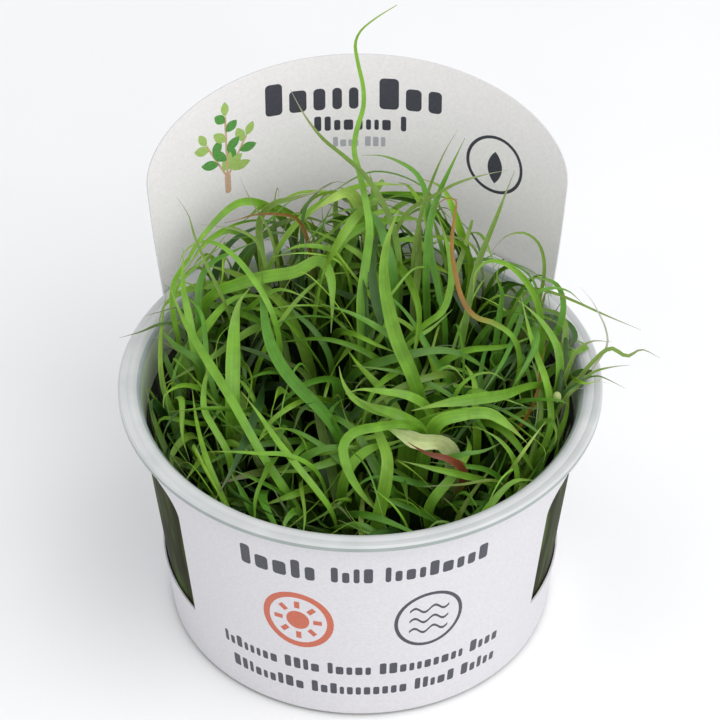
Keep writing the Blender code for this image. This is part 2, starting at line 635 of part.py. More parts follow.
def blades_mesh(name, blades, section):
    """Closed tubes along the routes of one shoot's blades."""
    curve = bpy.data.curves.new(name, "CURVE")
    curve.dimensions = "3D"
    curve.bevel_mode = "OBJECT"
    curve.bevel_object = section
    curve.use_fill_caps = True
    curve.resolution_u = 1
    curve.render_resolution_u = 0
    for blade in blades:
        spline = curve.splines.new("POLY")
        spline.points.add(len(blade.points) - 1)
        steps = np.linalg.norm(np.diff(blade.points, axis=0), axis=1)
        shares = np.concatenate([[0.0], np.cumsum(steps)]) / steps.sum()
        for point, place, share in zip(spline.points, blade.points, shares):
            point.co = (*place, 1.0)
            point.radius = blade.width * taper(share)
    holder = bpy.data.objects.new(name, curve)
    bpy.context.scene.collection.objects.link(holder)
    graph = bpy.context.evaluated_depsgraph_get()
    mesh = bpy.data.meshes.new_from_object(holder.evaluated_get(graph))
    bpy.data.objects.remove(holder, do_unlink=True)
    bm = bmesh.new()
    bm.from_mesh(mesh)
    bmesh.ops.remove_doubles(bm, verts=bm.verts, dist=0.00001)
    bmesh.ops.recalc_face_normals(bm, faces=bm.faces)
    bm.to_mesh(mesh)
    bm.free()
    return mesh


def make_shoot(index, blades, section, group, cutters):
    """A crown with its blades grown into it."""
    name = f"shoot_{index + 1:02d}"
    foot = crown_place(index)
    bm = bmesh.new()
    bmesh.ops.create_cone(bm, cap_ends=True, segments=6, depth=CROWN_HEIGHT,
                          radius1=CROWN_RADIUS, radius2=CROWN_TOP_RADIUS)
    bmesh.ops.translate(bm, verts=bm.verts, vec=(*foot[:2], foot[2] + CROWN_HEIGHT / 2.0))
    mesh = bpy.data.meshes.new(name)
    bm.to_mesh(mesh)
    bm.free()
    shoot = link_mesh(name, mesh, group)
    leaves = link_mesh(name + "_blades", blades_mesh(name, blades, section), cutters)
    leaves.hide_render = True
    leaves.display_type = "WIRE"
    join = shoot.modifiers.new("blades", "BOOLEAN")
    join.operation = "UNION"
    join.object = leaves
    join.use_self = True
    shade_round(shoot)
    tone = 0.8 + 0.2 * math.sin(index * 2.1)
    paint(shoot, (0.16 * tone, 0.31 * tone, 0.05 * tone), 0.45)


def main():
    clear_scene()
    model = new_collection("creeping_rush_cup")
    cutters = new_collection("cutters")
    make_cup(model)
    make_sleeve(model, cutters)
    make_gel(model)
    blades = plan_blades()
    settle(blades)
    section = keel_profile(cutters)
    for index in range(SHOOT_COUNT):
        own = [blade for blade in blades if blade.shoot == index]
        make_shoot(index, own, section, model, cutters)


main()
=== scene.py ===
"""Creeping rush tissue culture cup on a pale floor, for the visual model.

Metres, +Z up, with the origin at the centre of the cup's flat base. -Y is the front of the
sleeve. Nothing moves, so every piece rides the one body.
"""
import math

import bpy
import numpy as np
from mathutils import Matrix, Vector
from mathutils.geometry import delaunay_2d_cdt


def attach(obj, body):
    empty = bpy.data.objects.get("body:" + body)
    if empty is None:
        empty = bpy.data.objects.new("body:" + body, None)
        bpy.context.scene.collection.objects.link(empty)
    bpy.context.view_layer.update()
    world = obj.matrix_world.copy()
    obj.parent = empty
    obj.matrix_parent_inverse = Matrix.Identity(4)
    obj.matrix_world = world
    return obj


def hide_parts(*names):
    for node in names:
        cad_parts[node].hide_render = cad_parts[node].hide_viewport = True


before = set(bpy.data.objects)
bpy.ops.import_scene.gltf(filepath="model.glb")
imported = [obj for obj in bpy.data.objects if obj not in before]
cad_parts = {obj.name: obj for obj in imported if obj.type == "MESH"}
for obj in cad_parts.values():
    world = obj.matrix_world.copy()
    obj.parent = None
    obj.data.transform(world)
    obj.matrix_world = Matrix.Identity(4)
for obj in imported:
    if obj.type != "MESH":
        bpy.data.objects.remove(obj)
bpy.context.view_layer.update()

MM = 0.001

# Cup, as in the solids: the round rim is a hair smaller than their faceted one, and stays in its box
RIM_RADIUS = 49.85 * MM
CUP_HEIGHT = 58.0 * MM
FLANGE_INNER_RADIUS = 46.6 * MM
FLANGE_THICKNESS = 0.8 * MM
LIP_DROP = 1.3 * MM
LIP_WIDTH = 0.8 * MM
MOUTH_RADIUS = 45.3 * MM
BASE_RADIUS = 39.9 * MM
WALL = 0.95 * MM
FLOOR = 1.2 * MM
TURNED_STEPS = 144
GEL_STEPS = 96
TURNED_SHARP = math.radians(40.0)
STEP_RADIUS = 46.0 * MM
GROOVE_RADIUS = 48.1 * MM
GROOVE_WIDTH = 0.3 * MM
GROOVE_DEPTH = 0.16 * MM
# Height up to which the cup is painted dark olive, as painted shade of its dark inside
SHADED_WALL_TOP = 49.0 * MM
GAP = 0.3 * MM

# Where leaves meet the cup: how clear of its wall they stay, past which radius they lie over the rim,
# from which y the header is near, and from which radius and height they climb over the rim
CLEARANCE = 0.1 * MM
OUTSIDE = MOUTH_RADIUS + 1.5 * MM
HEADER_ZONE = 20.0 * MM
RIM_CLIMB_FROM = 40.0 * MM
OVER_RIM_FROM = 50.0 * MM

# Card sleeve, as in the solids, with the card a hair thinner
CARD = 0.33 * MM
SLEEVE_BOTTOM = 1.0 * MM
SLEEVE_TOP = 56.4 * MM
SLEEVE_YAW = math.radians(0.9)
SLIT_BOTTOM = 46.0 * MM
SLIT_ANGLE = math.radians(1.2)
WINDOW_BOTTOM = 15.0 * MM
WINDOW_TOPS = {"left": 48.0 * MM, "right": 46.8 * MM}
WINDOW_HALF_ANGLES = {"left": math.radians(34.6), "right": math.radians(33.4)}
WINDOW_CORNER = 4.5 * MM
HEADER_HALF_WIDTH = 48.4 * MM
HEADER_SHOULDER = 80.0 * MM
HEADER_TOP = 100.0 * MM
HEADER_RADIUS = 50.35 * MM
HEADER_FLATTENING = 0.63
HEADER_LEAN = 0.12
CARD_CELL = 3.0 * MM
CELL_SHIFT = 0.37
HEADER_STEPS = 60
CORNER_STEPS = 6
CREASE = math.radians(60.0)

# Nutrient gel and plantlets, as in the solids
GEL_DEPTH = 4.0 * MM
SHOOT_COUNT = 40
SHOOT_SPREAD = 33.5 * MM
CROWN_HEIGHT = 6.0 * MM
BLADES_PER_SHOOT = 3
TAPER_START = 0.6
TIP_SHARE = 0.16
TAPER_POWER = 1.3

# The photograph's viewpoint
VIEW_POINT = np.array([0.0, -511.45, 507.94]) * MM
VIEW_TARGET = np.array([-0.05, 0.0, 62.99]) * MM
FOCAL_PIXELS = 3309.5
IMAGE_CENTRE = 360.0
SENSOR_MM = 36.0

# Leaves read from the photograph, base to tip: colouring and width in mm, then pixel x, pixel y
# and height in mm
LEAVES = {
    "tall_wisp": ("bright", 2.9, [(363, 335, 66), (360, 300, 71), (366, 262, 76), (373, 228, 81),
        (369, 200, 86), (358, 172, 90), (352, 150, 93), (356, 130, 96), (365, 106, 100), (364, 88, 103),
        (357, 60, 109), (354, 42, 113), (359, 31, 116), (375, 18, 118), (397, 5, 120)]),
    "left_wisp": ("olive", 1.4, [(404, 268, 72), (396, 232, 79), (378, 200, 86), (360, 172, 92),
        (345, 156, 93), (322, 140, 95), (304, 116, 98), (290, 89, 103)]),
    "centre_broad": ("bright", 3.2, [(425, 398, 62), (411, 373, 66), (398, 345, 69), (389, 312, 73),
        (382, 276, 77), (384, 240, 81), (398, 208, 84)]),
    "centre_dark": ("mid", 2.2, [(401, 300, 66), (393, 270, 73), (387, 243, 77), (379, 215, 81),
        (352, 205, 83), (330, 214, 81)]),
    "blunt_pale": ("pale", 2.5, [(372, 214, 83), (352, 184, 88), (334, 197, 87), (310, 213, 83)]),
    "top_arch": ("olive", 1.6, [(262, 252, 76), (257, 215, 83), (272, 204, 86), (295, 198, 87),
        (318, 192, 87), (334, 183, 88)]),
    "small_hoop": ("dark", 1.0, [(300, 232, 79), (303, 209, 83), (316, 192, 86), (335, 180, 88),
        (349, 184, 87)]),
    "red_tip": ("red", 1.0, [(312, 240, 78), (299, 215, 83), (272, 212, 84), (250, 214, 84), (236, 221, 83),
        (224, 224, 83)]),
    "picture_wisp": ("olive", 0.8, [(280, 262, 75), (268, 224, 82), (256, 209, 85), (246, 192, 88),
        (240, 177, 91)]),
    "left_hook": ("olive", 1.0, [(272, 270, 73), (258, 237, 80), (236, 229, 82), (216, 226, 83),
        (201, 225, 83)]),
    "left_arc": ("mid", 1.4, [(193, 296, 69), (201, 276, 72), (211, 261, 75), (230, 253, 77),
        (258, 240, 80)]),
    "left_spear": ("olive", 1.1, [(196, 282, 71), (203, 266, 74), (213, 250, 78), (232, 229, 82)]),
    "left_upright": ("bright", 1.8, [(197, 376, 58), (194, 345, 63), (189, 312, 68), (182, 288, 72),
        (184, 262, 77), (183, 247, 80)]),
    "left_back_blade": ("bright", 1.4, [(176, 330, 65), (172, 300, 69), (172, 283, 72), (186, 262, 76),
        (200, 243, 80), (208, 230, 82)]),
    "left_long": ("bright", 1.9, [(300, 512, 45), (284, 490, 51), (262, 455, 57), (247, 428, 61),
        (231, 398, 64), (213, 370, 66), (198, 345, 68), (182, 318, 70), (171, 288, 72)]),
    "folded_left": ("bright", 2.6, [(197, 303, 66), (214, 293, 69), (240, 283, 71), (268, 277, 72),
        (296, 275, 73), (322, 254, 76), (331, 272, 74), (333, 302, 70), (331, 333, 65)]),
    "left_broad": ("bright", 3.1, [(232, 392, 62), (233, 360, 64), (234, 325, 67), (238, 300, 70),
        (250, 288, 72)]),
    "left_inner_arc": ("bright", 1.4, [(233, 446, 57), (213, 429, 58), (203, 411, 60), (203, 390, 62),
        (208, 367, 65), (217, 346, 67)]),
    "long_mid": ("mid", 2.5, [(346, 434, 59), (322, 411, 62), (298, 388, 64), (279, 364, 66),
        (267, 338, 68), (262, 300, 72), (262, 266, 76)]),
    "diagonal_mid": ("mid", 1.3, [(332, 345, 62), (312, 328, 64), (294, 313, 66), (280, 296, 69),
        (268, 284, 71)]),
    "front_left_long": ("bright", 1.5, [(336, 503, 51), (314, 488, 54), (294, 465, 57), (276, 440, 60),
        (258, 412, 62), (241, 391, 64)]),
    "flat_left": ("bright", 1.3, [(318, 460, 57), (286, 454, 59), (258, 454, 60), (232, 451, 60),
        (206, 452, 59)]),
    "front_loop": ("bright", 2.1, [(428, 434, 61), (405, 428, 63), (376, 427, 64), (352, 431, 64),
        (341, 443, 62), (345, 466, 58), (356, 487, 54), (370, 505, 50), (386, 522, 46)]),
    "front_fork": ("bright", 2.5, [(338, 497, 49), (345, 478, 54), (353, 461, 57), (369, 447, 60),
        (392, 436, 60), (414, 431, 59)]),
    "strap_over": ("bright", 1.9, [(436, 399, 64), (408, 397, 66), (380, 391, 67), (358, 388, 67),
        (345, 394, 66)]),
    "strap_under": ("bright", 1.9, [(414, 425, 60), (394, 417, 62), (372, 409, 63), (352, 400, 64),
        (341, 380, 66), (339, 366, 67)]),
    "right_band": ("bright", 2.4, [(556, 374, 60), (532, 387, 61), (504, 396, 63), (472, 400, 65),
        (440, 404, 65), (412, 412, 63)]),
    "right_strap": ("bright", 2.4, [(404, 424, 61), (436, 418, 63), (466, 412, 64), (490, 411, 64),
        (506, 423, 61), (528, 443, 57)]),
    "rosette_sheath": ("sheath", 3.5, [(457, 447, 58), (441, 440, 60), (421, 437, 61), (404, 432, 61),
        (386, 431, 60)]),
    "red_blade": ("red", 1.3, [(474, 459, 55), (449, 460, 57), (428, 455, 58), (408, 442, 59)]),
    "rosette_low": ("mid", 1.3, [(436, 452, 57), (462, 456, 57), (484, 452, 57), (504, 441, 57)]),
    "front_right_long": ("bright", 1.7, [(518, 491, 50), (490, 483, 53), (460, 474, 55), (430, 468, 57),
        (402, 461, 58)]),
    "front_right_mid": ("mid", 1.3, [(514, 478, 51), (488, 468, 54), (462, 462, 55), (430, 462, 56)]),
    "right_hook": ("bright", 1.1, [(519, 489, 48), (517, 471, 51), (513, 455, 55), (500, 439, 58),
        (476, 426, 60)]),
    "right_cross": ("pale", 1.0, [(507, 474, 52), (518, 460, 55), (530, 441, 58), (546, 421, 60)]),
    "front_spark": ("bright", 1.1, [(468, 519, 45), (454, 507, 49), (441, 496, 52)]),
    "front_low": ("mid", 1.5, [(450, 519, 46), (420, 508, 49), (392, 498, 51), (370, 491, 52)]),
    "front_left_low": ("mid", 1.8, [(262, 521, 46), (250, 503, 50), (240, 487, 52), (228, 468, 55)]),
    "far_left_low": ("mid", 1.7, [(219, 497, 49), (212, 480, 52), (203, 463, 54), (192, 457, 54)]),
    "left_diagonal": ("mid", 1.3, [(304, 516, 45), (282, 494, 51), (256, 479, 54), (230, 469, 56)]),
    "left_tip_over": ("dark", 0.9, [(190, 362, 59), (176, 318, 65), (160, 324, 65), (142, 332, 63),
        (119, 338, 62)]),
    "left_tip_high": ("dark", 0.8, [(196, 318, 66), (177, 305, 69), (162, 312, 69), (145, 316, 68)]),
    "left_tip_low": ("olive", 0.9, [(204, 372, 58), (187, 356, 60), (171, 345, 61), (152, 336, 62)]),
    "orange_leaf": ("orange", 1.1, [(530, 352, 64), (513, 336, 66), (494, 321, 68), (474, 319, 69),
        (463, 304, 71), (455, 275, 76), (450, 244, 80), (455, 214, 84), (458, 197, 87), (447, 196, 87),
        (430, 210, 84)]),
    "grey_green_blade": ("bright", 1.6, [(401, 331, 64), (426, 326, 66), (444, 313, 68), (452, 288, 72),
        (451, 258, 76), (444, 233, 80), (431, 213, 82)]),
    "second_strap": ("bright", 1.3, [(392, 352, 61), (412, 341, 63), (432, 329, 64), (453, 309, 67)]),
    "brown_upright": ("olive", 1.8, [(411, 328, 60), (413, 298, 67), (418, 264, 73), (422, 234, 78),
        (426, 206, 83)]),
    "mid_upright": ("mid", 1.4, [(447, 313, 65), (437, 288, 69), (431, 260, 74), (427, 228, 79),
        (428, 196, 85), (419, 173, 89), (401, 162, 92), (381, 154, 93), (361, 156, 93)]),
    "right_spear": ("mid", 1.5, [(420, 262, 74), (430, 220, 81), (439, 193, 86), (449, 171, 90),
        (465, 138, 96)]),
    "olive_spear": ("olive", 0.9, [(412, 250, 76), (424, 214, 83), (434, 178, 89), (444, 152, 94),
        (458, 129, 98)]),
    "long_olive": ("olive", 0.9, [(388, 232, 79), (406, 210, 83), (430, 196, 86), (456, 182, 88),
        (482, 175, 89), (508, 170, 89)]),
    "right_upright": ("olive", 1.3, [(466, 322, 66), (471, 290, 71), (476, 268, 75), (486, 243, 80),
        (496, 219, 84), (506, 192, 87), (515, 170, 90)]),
    "right_arch": ("bright", 1.4, [(549, 344, 62), (539, 308, 69), (525, 277, 75), (506, 262, 78),
        (487, 259, 79), (474, 270, 77), (473, 292, 73)]),
    "right_inner": ("mid", 1.4, [(498, 338, 61), (499, 312, 66), (505, 292, 70), (494, 276, 74),
        (500, 262, 77)]),
    "right_shoulder": ("mid", 1.5, [(556, 338, 61), (563, 318, 65), (564, 296, 69), (557, 282, 72),
        (540, 277, 74), (522, 279, 74)]),
    "right_slope": ("bright", 1.7, [(566, 372, 60), (558, 348, 63), (548, 328, 66), (534, 312, 69),
        (518, 300, 71)]),
    "straight_right": ("olive", 1.1, [(512, 300, 69), (530, 286, 72), (552, 292, 71), (575, 301, 70),
        (602, 314, 68), (641, 330, 65)]),
    "thin_hoop": ("olive", 0.8, [(546, 290, 71), (545, 260, 77), (539, 240, 81), (524, 231, 83),
        (506, 233, 83), (489, 254, 78)]),
    "rim_curl": ("olive", 1.1, [(572, 380, 60), (570, 362, 62), (577, 349, 64), (591, 339, 65),
        (612, 342, 64)]),
    "rim_zigzag": ("olive", 0.9, [(575, 378, 60), (592, 363, 62), (611, 341, 65), (627, 363, 62),
        (641, 344, 63), (660, 358, 61)]),
    "rim_level": ("olive", 0.9, [(570, 386, 59), (592, 371, 61), (612, 367, 62), (631, 365, 62)]),
    "rim_tail": ("dark", 0.7, [(574, 381, 60), (596, 372, 61), (611, 381, 60), (626, 389, 60)]),
    "wall_bright": ("bright", 1.6, [(553, 452, 48), (564, 424, 52), (569, 399, 56), (567, 382, 59)]),
    "wall_second": ("bright", 1.4, [(545, 456, 49), (551, 430, 53), (551, 405, 57), (543, 380, 61),
        (533, 354, 64), (527, 322, 68), (521, 296, 72)]),
    "wall_orange": ("orange", 0.9, [(538, 412, 57), (540, 388, 60), (541, 364, 62), (547, 343, 65)]),
    "arc_in_gap": ("bright", 1.0, [(453, 399, 61), (460, 384, 63), (476, 373, 65), (493, 371, 65),
        (506, 381, 63)]),
    "curl_in_gap": ("mid", 0.8, [(516, 384, 58), (500, 374, 60), (488, 360, 62), (491, 350, 63),
        (514, 355, 61)]),
}
# Leaves that narrow sooner or later than most, as a share of their length, and one that narrows fast
TAPER_STARTS = {"tall_wisp": 0.4, "straight_right": 0.5, "rim_zigzag": 0.85, "blunt_pale": 0.92,
                "right_band": 0.85, "rosette_sheath": 0.92, "right_strap": 0.85, "strap_over": 0.8,
                "strap_under": 0.8, "front_loop": 0.8, "front_fork": 0.8, "centre_broad": 0.7,
                "folded_left": 0.8}
TAPER_POWERS = {"tall_wisp": 0.6}
HAND_READ_TAPER = 0.78
EXTRA_TAPER = 0.68

# Fine leaves and hairs that only the visual model has, in the same form
FINE_LEAVES = {
    "grey_hair": ("hair", 0.5, [(577, 380, 59), (592, 364, 61), (611, 344, 64), (606, 328, 67),
        (598, 313, 69), (592, 300, 70), (580, 287, 72)]),
    "rim_hook": ("bright", 1.5, [(574, 374, 61), (579, 383, 60), (588, 386, 60), (602, 379, 61)]),
    "rim_thread": ("hair", 0.45, [(578, 392, 58), (588, 384, 60), (602, 380, 60), (612, 383, 60)]),
    "left_wall_leaf": ("bright", 1.3, [(170, 470, 46), (163, 450, 49), (152, 410, 54), (146, 388, 58)]),
    "left_wall_second": ("mid", 1.2, [(176, 452, 48), (164, 420, 53), (158, 392, 57), (160, 366, 60)]),
    "rosette_red": ("rust", 1.7, [(464, 459, 58), (447, 459, 60), (430, 455, 61), (416, 448, 61),
        (408, 442, 61)]),
    "rosette_left": ("bright", 2.6, [(416, 428, 62), (396, 420, 63), (374, 408, 64), (352, 396, 65)]),
    "rosette_right": ("bright", 3.0, [(412, 424, 62), (436, 416, 63.5), (464, 411, 64), (492, 412, 63),
        (504, 422, 61)]),
    "pit_upright": ("mid", 1.5, [(452, 392, 46), (448, 368, 50), (440, 345, 55), (436, 330, 58)]),
    "pit_second": ("dark", 1.4, [(470, 398, 44), (466, 372, 49), (462, 348, 53), (470, 330, 57)]),
    "pit_cross": ("bright", 1.1, [(492, 388, 52), (470, 372, 55), (446, 366, 56), (424, 372, 56)]),
    "pit_low": ("mid", 1.2, [(500, 516, 40), (494, 492, 44), (482, 476, 47), (470, 470, 48)]),
    "header_left_wisp": ("olive", 0.7, [(226, 300, 70), (206, 262, 77), (196, 236, 81), (190, 214, 84),
        (176, 196, 87)]),
    "header_left_arc": ("bright", 1.2, [(262, 300, 70), (240, 262, 77), (222, 244, 80), (200, 240, 80),
        (184, 250, 78), (178, 268, 75)]),
    "right_far_arc": ("mid", 1.1, [(508, 330, 64), (524, 300, 70), (548, 284, 73), (568, 290, 72),
        (582, 306, 69)]),
}
# Buds: pixel x, pixel y and height in mm, then radius in mm and colour
BUDS = (((557, 397, 59), 0.9, (186, 200, 134)),)

# Random ranges of the blades that bend over: turn and sweep in radians, all else in mm. Drop is how
# far the bend lies under the tangle's top, tip drop how far the tip lies under the bend, and rise how
# far the part between them lies above it. Steps are shares of the way out to the bend and up to it.
FILLER = {"turn": 1.9, "reach": (8.0, 22.0), "drop": (2.0, 13.0), "tip": (12.0, 24.0),
          "tip_drop": (-3.0, 7.0), "width": (1.4, 2.4)}
FILLER_STEPS = ((0.2, 0.4), (0.55, 0.75), (1.0, 1.0))
THIN = {"turn": 2.6, "reach": (4.0, 26.0), "drop": (-5.0, 8.0), "tip": (8.0, 24.0), "rise": (-1.0, 1.5),
        "tip_drop": (-2.0, 11.0), "width": (0.5, 0.9)}
THIN_STEPS = ((0.15, 0.35), (0.45, 0.72), (1.0, 0.97))
SWEEP = 1.1

# Share of a sideways push that the listed leaves take, height at the front and slope of the tangle's
# top, how far out the fillers reach, and the most rounds of pushing apart
HAND_READ_SLACK = 0.3
HEAP_FRONT = 50.0 * MM
HEAP_SLOPE = 0.28
FILLER_SPREAD = 41.0 * MM
SETTLE_ROUNDS = 400

# Leaves that only the visual model has: some lie over the top of the tangle, some are hair-thin
TOP_BLADES = 240
WALL_BLADES = 60
PRESSED_BLADES = 170
PRESSED_FROM = 9.0 * MM
OUTER_SHOOTS = 20
THIN_BLADES = 50
EXTRA_ROUNDS = 60
EXTRA_SPREAD = 44.0 * MM
MOUND_HEIGHT = 9.0 * MM
MOUND_MIDDLE = np.array([-8.0, 24.0]) * MM
MOUND_SPREAD = 17.0 * MM

# Their random ranges: bow, turn and slant in radians, all else in mm. Depth is how far they lie under
# the tangle's top. Laid steps are shares of the reach and how many mm the leaf dips there.
TOP = {"bow": (-0.5, 0.5), "reach": (14.0, 38.0), "depth": (0.5, 9.0), "width": (1.0, 2.7),
       "mound_width": (1.6, 2.7)}
TOP_TRIES = 12
BY_WALL = {"start": (36.0, 42.0), "turn": (1.2, 1.9), "bow": 0.5, "reach": (12.0, 30.0),
           "depth": (-2.0, 9.0), "width": (0.9, 1.9)}
PRESSED = {"slant": (-0.35, 0.35), "width": (1.3, 2.6), "top": (42.0, 56.0), "from_wall": (0.0, 1.4)}
LAID_STEPS = ((0.0, 7.0), (0.3, 1.0), (0.65, 0.0))
LAID_TIP_DIP = (0.0, 6.0)

# How a leaf faces and twists: listed ones are steadier
STEADY = {"spread": 0.12, "swing": (0.1, 0.3)}
LOOSE = {"spread": 0.3, "swing": (0.2, 0.7)}
TWISTS = (0.6, 1.8)

# Places where one looks down between the leaves: x, y and radius in mm
OPEN_PLACES = ((17.0, 12.0, 8.0), (28.0, -18.0, 6.0), (-22.0, 27.0, 6.0), (-9.0, 4.0, 5.0),
               (15.0, -15.0, 6.0), (13.0, -29.0, 6.0), (29.0, 33.0, 6.0))

# Painted shade: lower parts of the leaves are painted darker by their depth under the tangle's top, a top
# that falls away on the right
DARK_FROM = 3.5 * MM
DARK_OVER = 18.5 * MM
DARKEST = 0.12
RIGHT_FALL = 0.22
RIGHT_FROM = 8.0 * MM

# Sweep of a blade, whose last tenth closes in towards a point
RING_STEP = 1.3 * MM
POINT_FROM = 0.9
POINT_FALL = 6.5
BLADE_SECTION = ((-0.5, 0.03), (-0.26, -0.03), (0.0, -0.07), (0.26, -0.03), (0.5, 0.03),
                 (0.3, -0.1), (0.0, -0.17), (-0.3, -0.1))

# Crown: rings of radius in mm and share of the height. Sides of a crown and of a bud.
CROWN_RINGS = ((1.7, 0.0), (2.1, 0.15), (2.0, 0.45), (1.5, 0.8), (0.9, 1.0))
CROWN_COLOUR = (176, 184, 138)
CROWN_SIDES = 12
BUD_SIDES = 14

# Leaf colours as seen in even light: base, blade, upper part and tip
LEAF_COLOURS = {
    "bright": ((160, 186, 108), (120, 174, 50), (126, 177, 55), (142, 176, 74)),
    "mid": ((120, 150, 76), (88, 145, 42), (92, 148, 46), (108, 140, 58)),
    "dark": ((86, 112, 56), (56, 98, 38), (60, 98, 42), (112, 112, 84)),
    "olive": ((118, 146, 70), (106, 144, 54), (112, 142, 62), (150, 144, 128)),
    "pale": ((190, 204, 140), (164, 200, 92), (168, 200, 98), (176, 196, 116)),
    "sheath": ((150, 170, 90), (186, 206, 128), (210, 222, 162), (150, 194, 84)),
    "rust": ((96, 120, 50), (96, 116, 50), (124, 58, 38), (112, 50, 36)),
    "hair": ((128, 138, 92), (150, 152, 132), (184, 182, 176), (192, 190, 188)),
    "red": ((104, 128, 54), (100, 126, 50), (122, 84, 44), (124, 56, 40)),
    "orange": ((132, 176, 66), (124, 172, 54), (150, 104, 36), (146, 60, 34)),
}


def angles_round(steps):
    """Angles all the way round, in even steps."""
    return [2.0 * math.pi * step / steps for step in range(steps)]


def linear(colour):
    """Linear RGB of a colour given as 0 to 255."""
    shares = [part / 255.0 for part in colour]
    return tuple(s / 12.92 if s <= 0.04045 else ((s + 0.055) / 1.055) ** 2.4 for s in shares)


# Shapes shared with the solids


def outer_wall_radius(z):
    """Outer radius of the cup's tapered wall at a height."""
    return BASE_RADIUS + (MOUTH_RADIUS + WALL - BASE_RADIUS) * z / CUP_HEIGHT


def inner_wall_radius(z):
    return outer_wall_radius(z) - WALL


def cup_profile():
    """Half section of the cup: inside floor to rim, then down the outside to the base."""
    flange_under = CUP_HEIGHT - FLANGE_THICKNESS
    fillet = 1.3 * MM
    shoulder = 1.3 * MM
    rounding = 0.4 * MM
    return [
        (0.0, FLOOR),
        (inner_wall_radius(FLOOR) - fillet, FLOOR),
        (inner_wall_radius(FLOOR + fillet), FLOOR + fillet),
        (inner_wall_radius(SHADED_WALL_TOP), SHADED_WALL_TOP),
        (inner_wall_radius(CUP_HEIGHT - shoulder), CUP_HEIGHT - shoulder),
        (STEP_RADIUS, CUP_HEIGHT - rounding),
        (FLANGE_INNER_RADIUS, CUP_HEIGHT - 0.15 * MM),
        (STEP_RADIUS + 0.9 * MM, CUP_HEIGHT),
        (GROOVE_RADIUS - GROOVE_WIDTH, CUP_HEIGHT),
        (GROOVE_RADIUS, CUP_HEIGHT - GROOVE_DEPTH),
        (GROOVE_RADIUS + GROOVE_WIDTH, CUP_HEIGHT),
        (RIM_RADIUS - rounding, CUP_HEIGHT),
        (RIM_RADIUS, CUP_HEIGHT - rounding),
        (RIM_RADIUS, CUP_HEIGHT - LIP_DROP),
        (RIM_RADIUS - LIP_WIDTH, CUP_HEIGHT - LIP_DROP),
        (RIM_RADIUS - LIP_WIDTH, flange_under),
        (outer_wall_radius(flange_under), flange_under),
        (outer_wall_radius(SHADED_WALL_TOP), SHADED_WALL_TOP),
        (outer_wall_radius(fillet), fillet),
        (BASE_RADIUS - fillet, 0.0),
        (0.0, 0.0),
    ]


def header_point(width, z):
    """Point on the header's inner face: arc length from its middle line, and height."""
    rise = z - CUP_HEIGHT
    radius = HEADER_RADIUS + HEADER_FLATTENING * max(rise, 0.0)
    middle = HEADER_RADIUS + HEADER_LEAN * max(rise, 0.0)
    angle = width / radius
    return radius * math.sin(angle), middle - radius * (1.0 - math.cos(angle))


def card_radius(z):
    """Inner radius of the wrapped card, clear of the cup's wall."""
    return outer_wall_radius(z) + GAP


def ease(t):
    t = min(max(t, 0.0), 1.0)
    return t * t * (3.0 - 2.0 * t)


def tab_point(width, z):
    """Point on the rear card: it follows the cup's wall, then swells out behind the rim."""
    swell = ease((z - SLIT_BOTTOM) / (CUP_HEIGHT - 1.6 * MM - SLIT_BOTTOM))
    radius = card_radius(z) + (HEADER_RADIUS - card_radius(z)) * swell
    angle = width / HEADER_RADIUS
    return radius * math.sin(angle), radius * math.cos(angle)


def header_edge(width):
    """Height of the header's rounded top edge."""
    round_off = math.sqrt(max(0.0, 1.0 - (width / HEADER_HALF_WIDTH) ** 2))
    return HEADER_SHOULDER + (HEADER_TOP - HEADER_SHOULDER) * round_off


def view_axes():
    forward = VIEW_TARGET - VIEW_POINT
    forward /= np.linalg.norm(forward)
    right = np.cross(forward, (0.0, 0.0, 1.0))
    right /= np.linalg.norm(right)
    return forward, right, np.cross(right, forward)


def view_ray(px, py):
    """Direction from the viewpoint through a pixel of the photograph."""
    forward, right, up = view_axes()
    ray = forward + right * (px - IMAGE_CENTRE) / FOCAL_PIXELS + up * (IMAGE_CENTRE - py) / FOCAL_PIXELS
    return ray / np.linalg.norm(ray)


def seen_point(px, py, height):
    """Point at a height, in mm, that is seen at a pixel of the photograph."""
    ray = view_ray(px, py)
    return VIEW_POINT + ray * (height * MM - VIEW_POINT[2]) / ray[2]


def crown_place(index):
    """Crowns stand in a sunflower spiral, which spaces them evenly."""
    golden_turn = math.pi * (3.0 - math.sqrt(5.0))
    reach = SHOOT_SPREAD * math.sqrt((index + 0.5) / SHOOT_COUNT)
    turn = index * golden_turn
    return np.array([reach * math.cos(turn), reach * math.sin(turn), FLOOR + 2.0 * GAP + GEL_DEPTH])


def crown_roots(index, target):
    """First two points of a blade: inside the crown, and just above it."""
    foot = crown_place(index)
    away = target[:2] - foot[:2]
    away = away / max(np.linalg.norm(away), 1e-6)
    inside = foot + (*(away * 0.5 * MM), 0.45 * CROWN_HEIGHT)
    above = foot + (*(away * 0.9 * MM), CROWN_HEIGHT + 1.6 * MM)
    return inside, above


def nearest_free_crown(point, used):
    """The crown closest under a point that still has room for a blade."""
    free = [i for i in range(SHOOT_COUNT) if used[i] < BLADES_PER_SHOOT]
    return min(free, key=lambda i: np.linalg.norm(crown_place(i)[:2] - 0.8 * point[:2]))


class Blade:
    """One leaf blade: the shoot it grows from, its width and its route.

    Its points slide freely along their rays, and slack is the share of any other push that they take.
    """

    def __init__(self, shoot, width, points, rays, slack):
        self.shoot = shoot
        self.width = width
        self.points = np.array(points)
        self.rays = np.array(rays)
        self.slack = np.array(slack)
        self.taper_start = TAPER_START
        self.taper_power = TAPER_POWER


def heading(turn):
    """Level direction at a turn from +X."""
    return np.array([math.cos(turn), math.sin(turn)])


def free_blade(shoot, width, points):
    """A blade held at its crown and free to shift everywhere else."""
    return Blade(shoot, width, points, [np.zeros(3)] * len(points), [0.0, 0.0] + [1.0] * (len(points) - 2))


